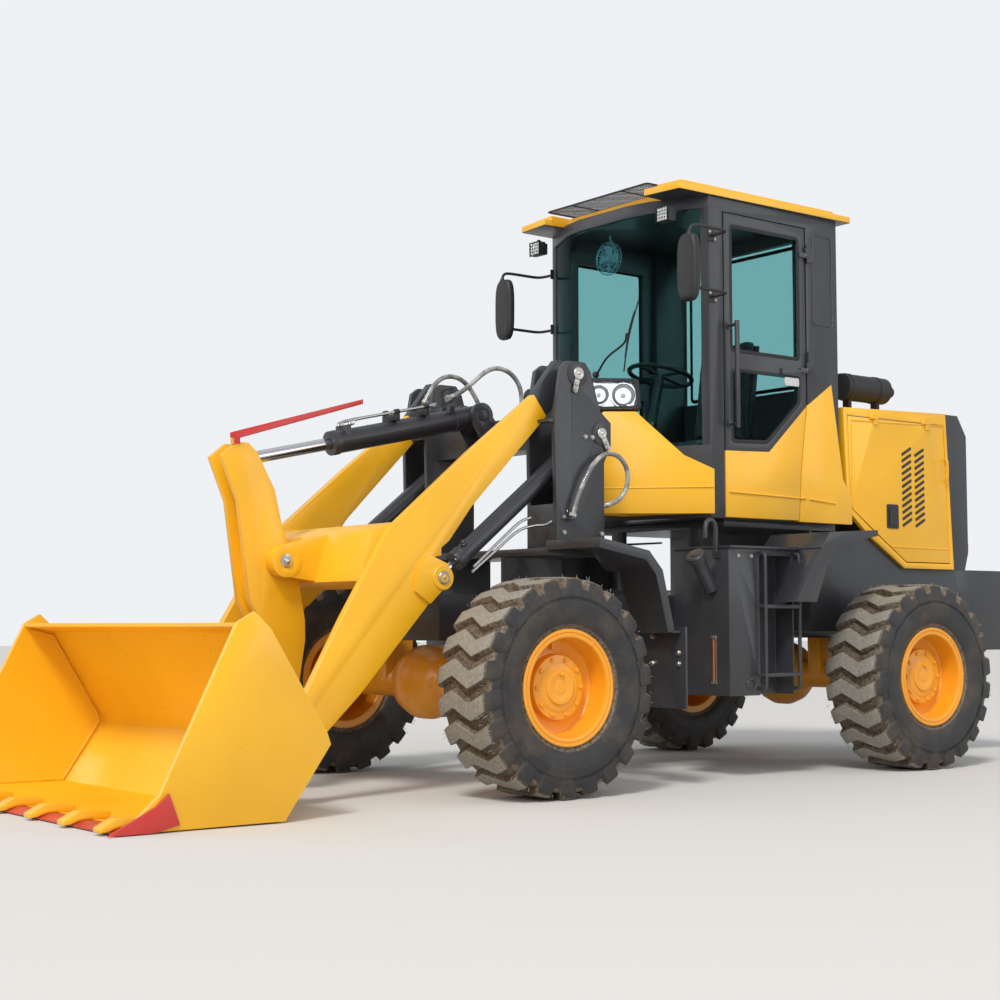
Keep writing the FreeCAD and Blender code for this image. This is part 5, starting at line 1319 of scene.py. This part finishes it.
def makeWiper():
    form = bmesh.new()
    for path, radius, sides, steps in (
            ([(-0.061, -0.128, 2.313), (0.060, -0.150, 2.400), (0.204, -0.150, 2.463), (0.226, -0.148, 2.520)],
             0.0065, 10, 4),
            ([(0.309, -0.128, 2.705), (0.262, -0.142, 2.560), (0.226, -0.145, 2.440), (0.194, -0.142, 2.301)],
             0.0045, 8, 5),
            ([(0.285, -0.140, 2.640), (0.252, -0.156, 2.520), (0.214, -0.150, 2.380)], 0.004, 8, 5)):
        addLine(form, path, radius, sides, steps)
    addTurned(form, [(-0.012, 0), (-0.012, 0.018), (0.010, 0.018), (0.014, 0.012), (0.014, 0)],
              at(-0.061, -0.136, 2.313), (0, -1, 0), 24)
    finished(form, "wiper", "plastic", "chassis")


# rings and spokes of the fan's cage: (depth, share of the radius)
fan = {"radius": 0.098, "rings": ((-0.030, 0.35), (-0.034, 0.7), (-0.016, 1.0), (0.014, 1.0), (0.032, 0.6)),
       "spoke": ((-0.033, 0.12), (-0.034, 0.7), (-0.016, 1.0), (0.014, 1.0), (0.032, 0.6), (0.034, 0.2)),
       "blade": ((0.010, -0.008, 0.0), (0.070, -0.012, 0.028), (0.084, -0.002, 0.006), (0.066, 0.010, -0.030),
                 (0.010, 0.006, -0.008)),
       "stalk": ((0, 0.040, 0.0), (0, 0.050, 0.06), (-0.02, 0.030, 0.125), (-0.02, 0.030, 0.150))}


def makeFan():
    form = bmesh.new()
    center = at(-0.201, 0.100, 3.060)

    def spot(deep, share, a):
        return center + Vector((fan["radius"] * share * math.cos(a), deep, fan["radius"] * share * math.sin(a)))

    for deep, share in fan["rings"]:
        addTube(form, [spot(deep, share, a) for a in anglesOf(40, 1)], 0.0022, 6, ends=False)
    for a in anglesOf(18):
        addTube(form, smoothPath([spot(deep, share, a) for deep, share in fan["spoke"]], 3), 0.0014, 5)
    for a in anglesOf(4):
        points = [center + Matrix.Rotation(a, 3, "Y") @ Vector(p) for p in fan["blade"]]
        addFaces(form, points + [p + Vector((0, 0.002, 0)) for p in points], prism(len(points)))
    addTurned(form, [(-0.016, 0), (-0.014, 0.016), (0.040, 0.022), (0.062, 0.016), (0.062, 0)], center, (0, 1, 0), 24)
    addTube(form, smoothPath([center + Vector(p) for p in fan["stalk"]], 4), 0.007, 10)
    finished(form, "cab_fan", "fanPlastic", "chassis")


def grabExtra(form):
    for z in (1.972, 2.538):
        addDisc(form, at(cab["side"], 0.215, z), 1, 0.022, 0.005, (0.002, 0.004))


makeSeals()
makeDoorLock()
makeWiper()
makeFan()
dressed("grab_rail", "charcoal", 0.003, grabExtra)
print("cab details ready")

# hood: slanted vents as dark plates, painted shade of the open slots, latch, pull and the fold lines of the panel
hoodDoor = {"face": 0.6205, "ventLow": 1.478, "ventStep": 0.0405, "ventCount": 12, "ventColumns": (1.852, 1.978),
            "ventHalf": 0.046,
            "folds": (((1.335, 2.085), (2.215, 2.108)), ((2.236, 2.085), (2.268, 1.315)),
                      ((1.335, 2.060), (1.335, 1.560)), ((1.345, 1.540), (1.680, 1.330)),
                      ((1.700, 1.322), (2.245, 1.318))),
            "pull": ((0.0, 1.756), (0.028, 1.762), (0.034, 1.800), (0.034, 1.850), (0.028, 1.888), (0.0, 1.894))}


def ventShadeForm():
    # a thin dark plate laid on the door in a slanted vent's shape: painted shade of the slot behind it
    form, half = bmesh.new(), hoodDoor["ventHalf"]
    outline = [(-half, -0.026), (-half + 0.006, -0.030), (half, 0.014), (half, 0.026), (half - 0.006, 0.030),
               (-half, -0.014)]
    addFaces(form, [(x, u, v) for x in (-0.001, 0.0012) for u, v in outline], prism(len(outline)))
    return closeForm(form, "ventTemplate")


def makeHoodDoor(side, name, ventShade):
    x, body = side * hoodDoor["face"], "hood_door_" + name

    def doorExtra(form):
        # folds pressed round the door, and the pull handle
        for a, b in hoodDoor["folds"]:
            addTube(form, [at(x, *a), at(x, *b)], 0.0045, 8)
        addTube(form, smoothPath([at(x + side * dx, 2.222, z) for dx, z in hoodDoor["pull"]], 4), 0.0055, 10)
    dressed(body, "yellow", 0.003, doorExtra)
    form = bmesh.new()
    addPlate(form, roundOutline(rect(1.655, 1.434, 1.765, 1.585), 0.014), x - side * 0.001, x + side * 0.004)
    addPlate(form, roundOutline(rect(1.675, 1.455, 1.745, 1.565), 0.010), x + side * 0.003, x + side * 0.009)
    finished(form, "hood_latch_" + name, "plastic", body)
    # rows of the dark vent plates on the door's face; their dark finish is painted shade in place of open slots
    low, high = hoodDoor["ventColumns"]
    values = {"Form": ventShade, "Count": hoodDoor["ventCount"], "Columns": 2, "Finish": finishes["darkIron"],
              "First": at(side * 0.6215, low, hoodDoor["ventLow"]), "Step": (0, 0, hoodDoor["ventStep"]),
              "Column Step": (0, high - low, 0.0)}
    fit(runTree(bpy.data.meshes.new("vents_" + name), rowTree, values), "darkIron", body)


ventShade = ventShadeForm()
for side, name in bothSides:
    makeHoodDoor(side, name, ventShade)
discard(ventShade)
print("hood ready")


# tanks: filler, hoop, gauge, ladder grip, bolts
def tankExtra(form):
    # raised grip teeth on the ladders' treads
    for side, name in bothSides:
        for z in (0.555, 0.93):
            for k in range(9):
                x = side * (0.825 + k * 0.0185)
                for y in (0.185, 0.235, 0.285, 0.335, 0.385):
                    addBlock(form, at(x - 0.005, y - 0.016, z + 0.003), at(x + 0.005, y + 0.016, z + 0.014))


tankPaths = {
    "neck": [(0.820, -0.068, 1.030), (0.815, -0.105, 1.090), (0.813, -0.140, 1.145), (0.820, -0.180, 1.196)],
    "cap": [(-0.01, 0.040), (-0.01, 0.048), (0.008, 0.048), (0.010, 0.053), (0.030, 0.053), (0.036, 0.047),
            (0.038, 0.030), (0.046, 0.026), (0.048, 0)],
    "hoop": [(0.860, -0.076, 1.235), (0.868, -0.086, 1.300), (0.872, -0.090, 1.360), (0.874, -0.106, 1.396),
             (0.876, -0.134, 1.408), (0.878, -0.162, 1.396), (0.880, -0.176, 1.360), (0.880, -0.178, 1.310)],
    "rail": [(0.960, 1.235), (0.985, 1.225), (0.992, 1.190), (0.992, 0.900), (0.992, 0.560), (0.992, 0.520),
             (0.984, 0.495), (0.955, 0.487)],
}


def makeTankFittings():
    form = bmesh.new()
    line = smoothPath([at(*p) for p in tankPaths["neck"]], 5)
    addTube(form, line, 0.040, 28)
    aim = (line[-1] - line[-3]).normalized()
    addTurned(form, tankPaths["cap"], line[-1], aim, 36)
    for a in anglesOf(18):
        spot = line[-1] + frameOf(aim) @ Vector((0.052 * math.cos(a), 0.052 * math.sin(a), 0.020))
        addTurned(form, [(-0.010, 0), (-0.010, 0.004), (0.010, 0.004), (0.010, 0)], spot, aim, 6)
    addLine(form, tankPaths["hoop"], 0.013, 16)
    addBlock(form, at(0.832, -0.080, 1.205), at(0.888, -0.066, 1.250))
    # ring low on the tank's side
    addTube(form, [at(0.951, 0.095 + 0.036 * math.cos(a), 0.515 + 0.030 * math.sin(a)) for a in anglesOf(24, 1)],
            0.006, 8, ends=False)
    finished(form, "tank_fittings", "charcoal", "chassis")
    gauge, ends = bmesh.new(), bmesh.new()
    addTube(gauge, [at(0.838, -0.079, 0.530), at(0.838, -0.079, 0.768)], 0.0055, 14)
    finished(gauge, "tank_gauge_tube", "orangeTube", "chassis")
    for z in (0.519, 0.766):
        addBlock(ends, at(0.826, -0.090, z), at(0.850, -0.070, z + 0.016))
    addBlock(ends, at(0.822, -0.073, 0.519), at(0.854, -0.070, 0.780))
    finished(ends, "tank_gauge_frame", "zinc", "chassis", edge=0.002)
    spots = [(at(side * 0.95, y, 1.215), (side, 0, 0), 0.024) for side in (-1, 1) for y in (0.0, 0.10)]
    stamped("tank_bolts", bolt, spots, "zinc", "chassis")


def makeLadderRails():
    # tubular rails of the ladders, and lips round the tanks' tops
    form = bmesh.new()
    for side in (-1, 1):
        for y in (0.168, 0.440):
            addLine(form, [(x, y, z) for x, z in tankPaths["rail"]], 0.011, 16, 4, side)
        low, high = sorted((side * 0.515, side * 0.972))
        addPlate(form, rect(low, -0.078, high, 0.46), 1.258, 1.270, "z")
    piece = rounded(closeForm(form, "ladder_rails"), 0.002, 2, 40)
    fit(piece, "charcoal", "chassis")


def makeFlapBolts():
    spots = [(at(side * x, -0.586, z), (0, -1, 0), 0.030) for side in (-1, 1)
             for x, z in ((1.095, 0.640), (1.095, 0.696), (0.900, 0.640), (0.900, 0.780))]
    stamped("front_fender_bolts", bolt, spots, "zinc", "front_chassis")


def mufflerExtra(form):
    for y in (1.66, 1.93):
        addTurned(form, [(-0.015, 0.084), (-0.015, 0.0885), (0.015, 0.0885), (0.015, 0.084)], at(0.30, y, 2.35),
                  (0, 1, 0), 44, closed=True)


dressed("tanks", "charcoal", 0.003, tankExtra)
makeTankFittings()
makeFlapBolts()
dressed("muffler", "darkIron", 0.004, mufflerExtra)
print("tanks and muffler ready")

# roof with its underside painted dark as painted shade, and the wire visor over the windscreen
visor = {"half": 0.45, "front": -0.187, "back": 0.057, "z": 3.351, "pitch": 0.0165, "edge": 0.006}


def roofUndersideShade(form):
    # faces that point down get the charcoal finish: painted shade on the roof's underside
    for face in form.faces:
        face.normal_update()
        if face.normal.z < -0.6:
            face.material_index = 1


def makeVisor():
    half, front, back, z, pitch, edge = (visor[key] for key in ("half", "front", "back", "z", "pitch", "edge"))
    form, clear = bmesh.new(), half - edge
    line = roundOutline(rect(-clear, front + edge, clear, back - edge), 0.020)
    addTube(form, [at(x, y, z) for x, y in line + line[:1]], 0.0055, 10, ends=False)
    for x in (-0.22, 0.22):
        addTube(form, [at(x, front + edge, z), at(x, back - edge, z)], 0.004, 8)
    for k in range(1, int((back - front + 2 * half) / pitch)):
        for ends in ((front, back), (back, front)):
            # slanted wires, clipped to the frame
            high = -half + k * pitch
            low, deep, points = high - (back - front), ends[1] - ends[0], []
            for x in (low, high):
                limit = max(-clear, min(clear, x))
                points.append(at(limit, ends[0] + deep * (limit - low) / (high - low), z))
            if (points[0] - points[1]).length > 0.01:
                addTube(form, points, 0.0013, 4)
    finished(form, "visor_wires", "plastic", "chassis", "sun_visor", 50)


def makePanelFolds():
    # pressed fold lines low on the cab's panels and its door
    form, door = bmesh.new(), bmesh.new()
    for side in (-1, 1):
        for path in (
                [(0.2095, -0.4485, 1.600), (0.335, -0.4265, 1.602), (0.5275, -0.182, 1.606), (0.718, 0.055, 1.610)],
                [(0.6925, 0.870, 1.576), (0.6925, 1.10, 1.560)]):
            addTube(form, [at(side * x, y, z) for x, y, z in path], 0.006, 10)
    finished(form, "cab_panel_folds", "yellow", "chassis")
    addTube(door, [at(0.6925, 0.205, 1.590), at(0.6925, 0.835, 1.578)], 0.006, 10)
    finished(door, "door_panel_fold", "yellow", "cab_door")


def makePillarTrim():
    # long hinges of the door and the pressed frame on the corner pillar
    form = bmesh.new()
    for side in (-1, 1):
        line = roundOutline(rect(0.930, 2.62, 1.095, 3.16), 0.02, 4)
        addTube(form, [at(side * cab["side"], u, v) for u, v in line + line[:1]], 0.0035, 8, ends=False)
    for z in (2.34, 2.98):
        addTurned(form, [(0, 0), (0, 0.011), (0.002, 0.013), (0.108, 0.013), (0.110, 0.011), (0.110, 0)],
                  at(0.699, 0.878, z), (0, 0, 1), 20)
        addPlate(form, rect(0.882, z + 0.012, 0.925, z + 0.098), 0.690, 0.696)
    finished(form, "pillar_trim", "charcoal", "chassis")


bucketSeam = [(-3.600, 0.0345), (-2.965, 0.032), (-2.764, 0.330), (-2.776, 0.370), (-3.034, 0.790), (-3.170, 0.820)]


def makeBucketWelds():
    # weld beads where the bucket's bent plate meets its sides
    chance = random.Random(7)
    form = bmesh.new()
    for side in (-1, 1):
        line = []
        for (y0, z0), (y1, z1) in zip(bucketSeam, bucketSeam[1:]):
            steps = max(2, int(math.hypot(y1 - y0, z1 - z0) / 0.012))
            line += [at(side * 1.1085, y0 + (y1 - y0) * k / steps, z0 + (z1 - z0) * k / steps) for k in range(steps)]
        wobble = [p + Vector((0, chance.uniform(-0.0012, 0.0012), chance.uniform(-0.0012, 0.0012))) for p in line]
        addTube(form, wobble, lambda t: 0.0068 + 0.0010 * math.sin(t * 900), 8)
    finished(form, "bucket_welds", "cleanYellow", "bucket_body")


# the roof's downward faces take the charcoal as painted shade
dressed("cab_roof", ["yellow", "charcoal"], 0.006, roofUndersideShade, 3)
makeVisor()
makePanelFolds()
makeLadderRails()
makePillarTrim()
makeBucketWelds()
print("trim ready")

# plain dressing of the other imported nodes
plainFinish = {
    "charcoal": ("rear_frame", "counterweight", "rear_grille", "cab_shell", "rear_fenders", "cab_door", "front_frame",
                 "front_fenders", "steer_barrel_left", "steer_barrel_right"),
    "yellow": ("hood", "cab_panels", "cab_door_panel", "bucket_teeth", "tilt_link"),
    "plastic": ("seat_base", "steering_column", "control_box"),
    # the axles take the darker copy of the yellow enamel, painted shade
    "orange": ("front_axle", "rear_axle"),
    "steel": ("bucket_pins", "link_pin"),
    "chrome": ("steer_rod_left", "steer_rod_right"),
    "glass": ("cab_glass", "cab_door_glass"),
    "darkIron": ("engine_block",), "cleanYellow": ("bucket",), "red": ("cutting_edge",),
}
for finish, nodes in plainFinish.items():
    for node in nodes:
        dressed(node, finish, 0 if finish == "glass" else 0.003)
print("nodes dressed")
discard(bolt)
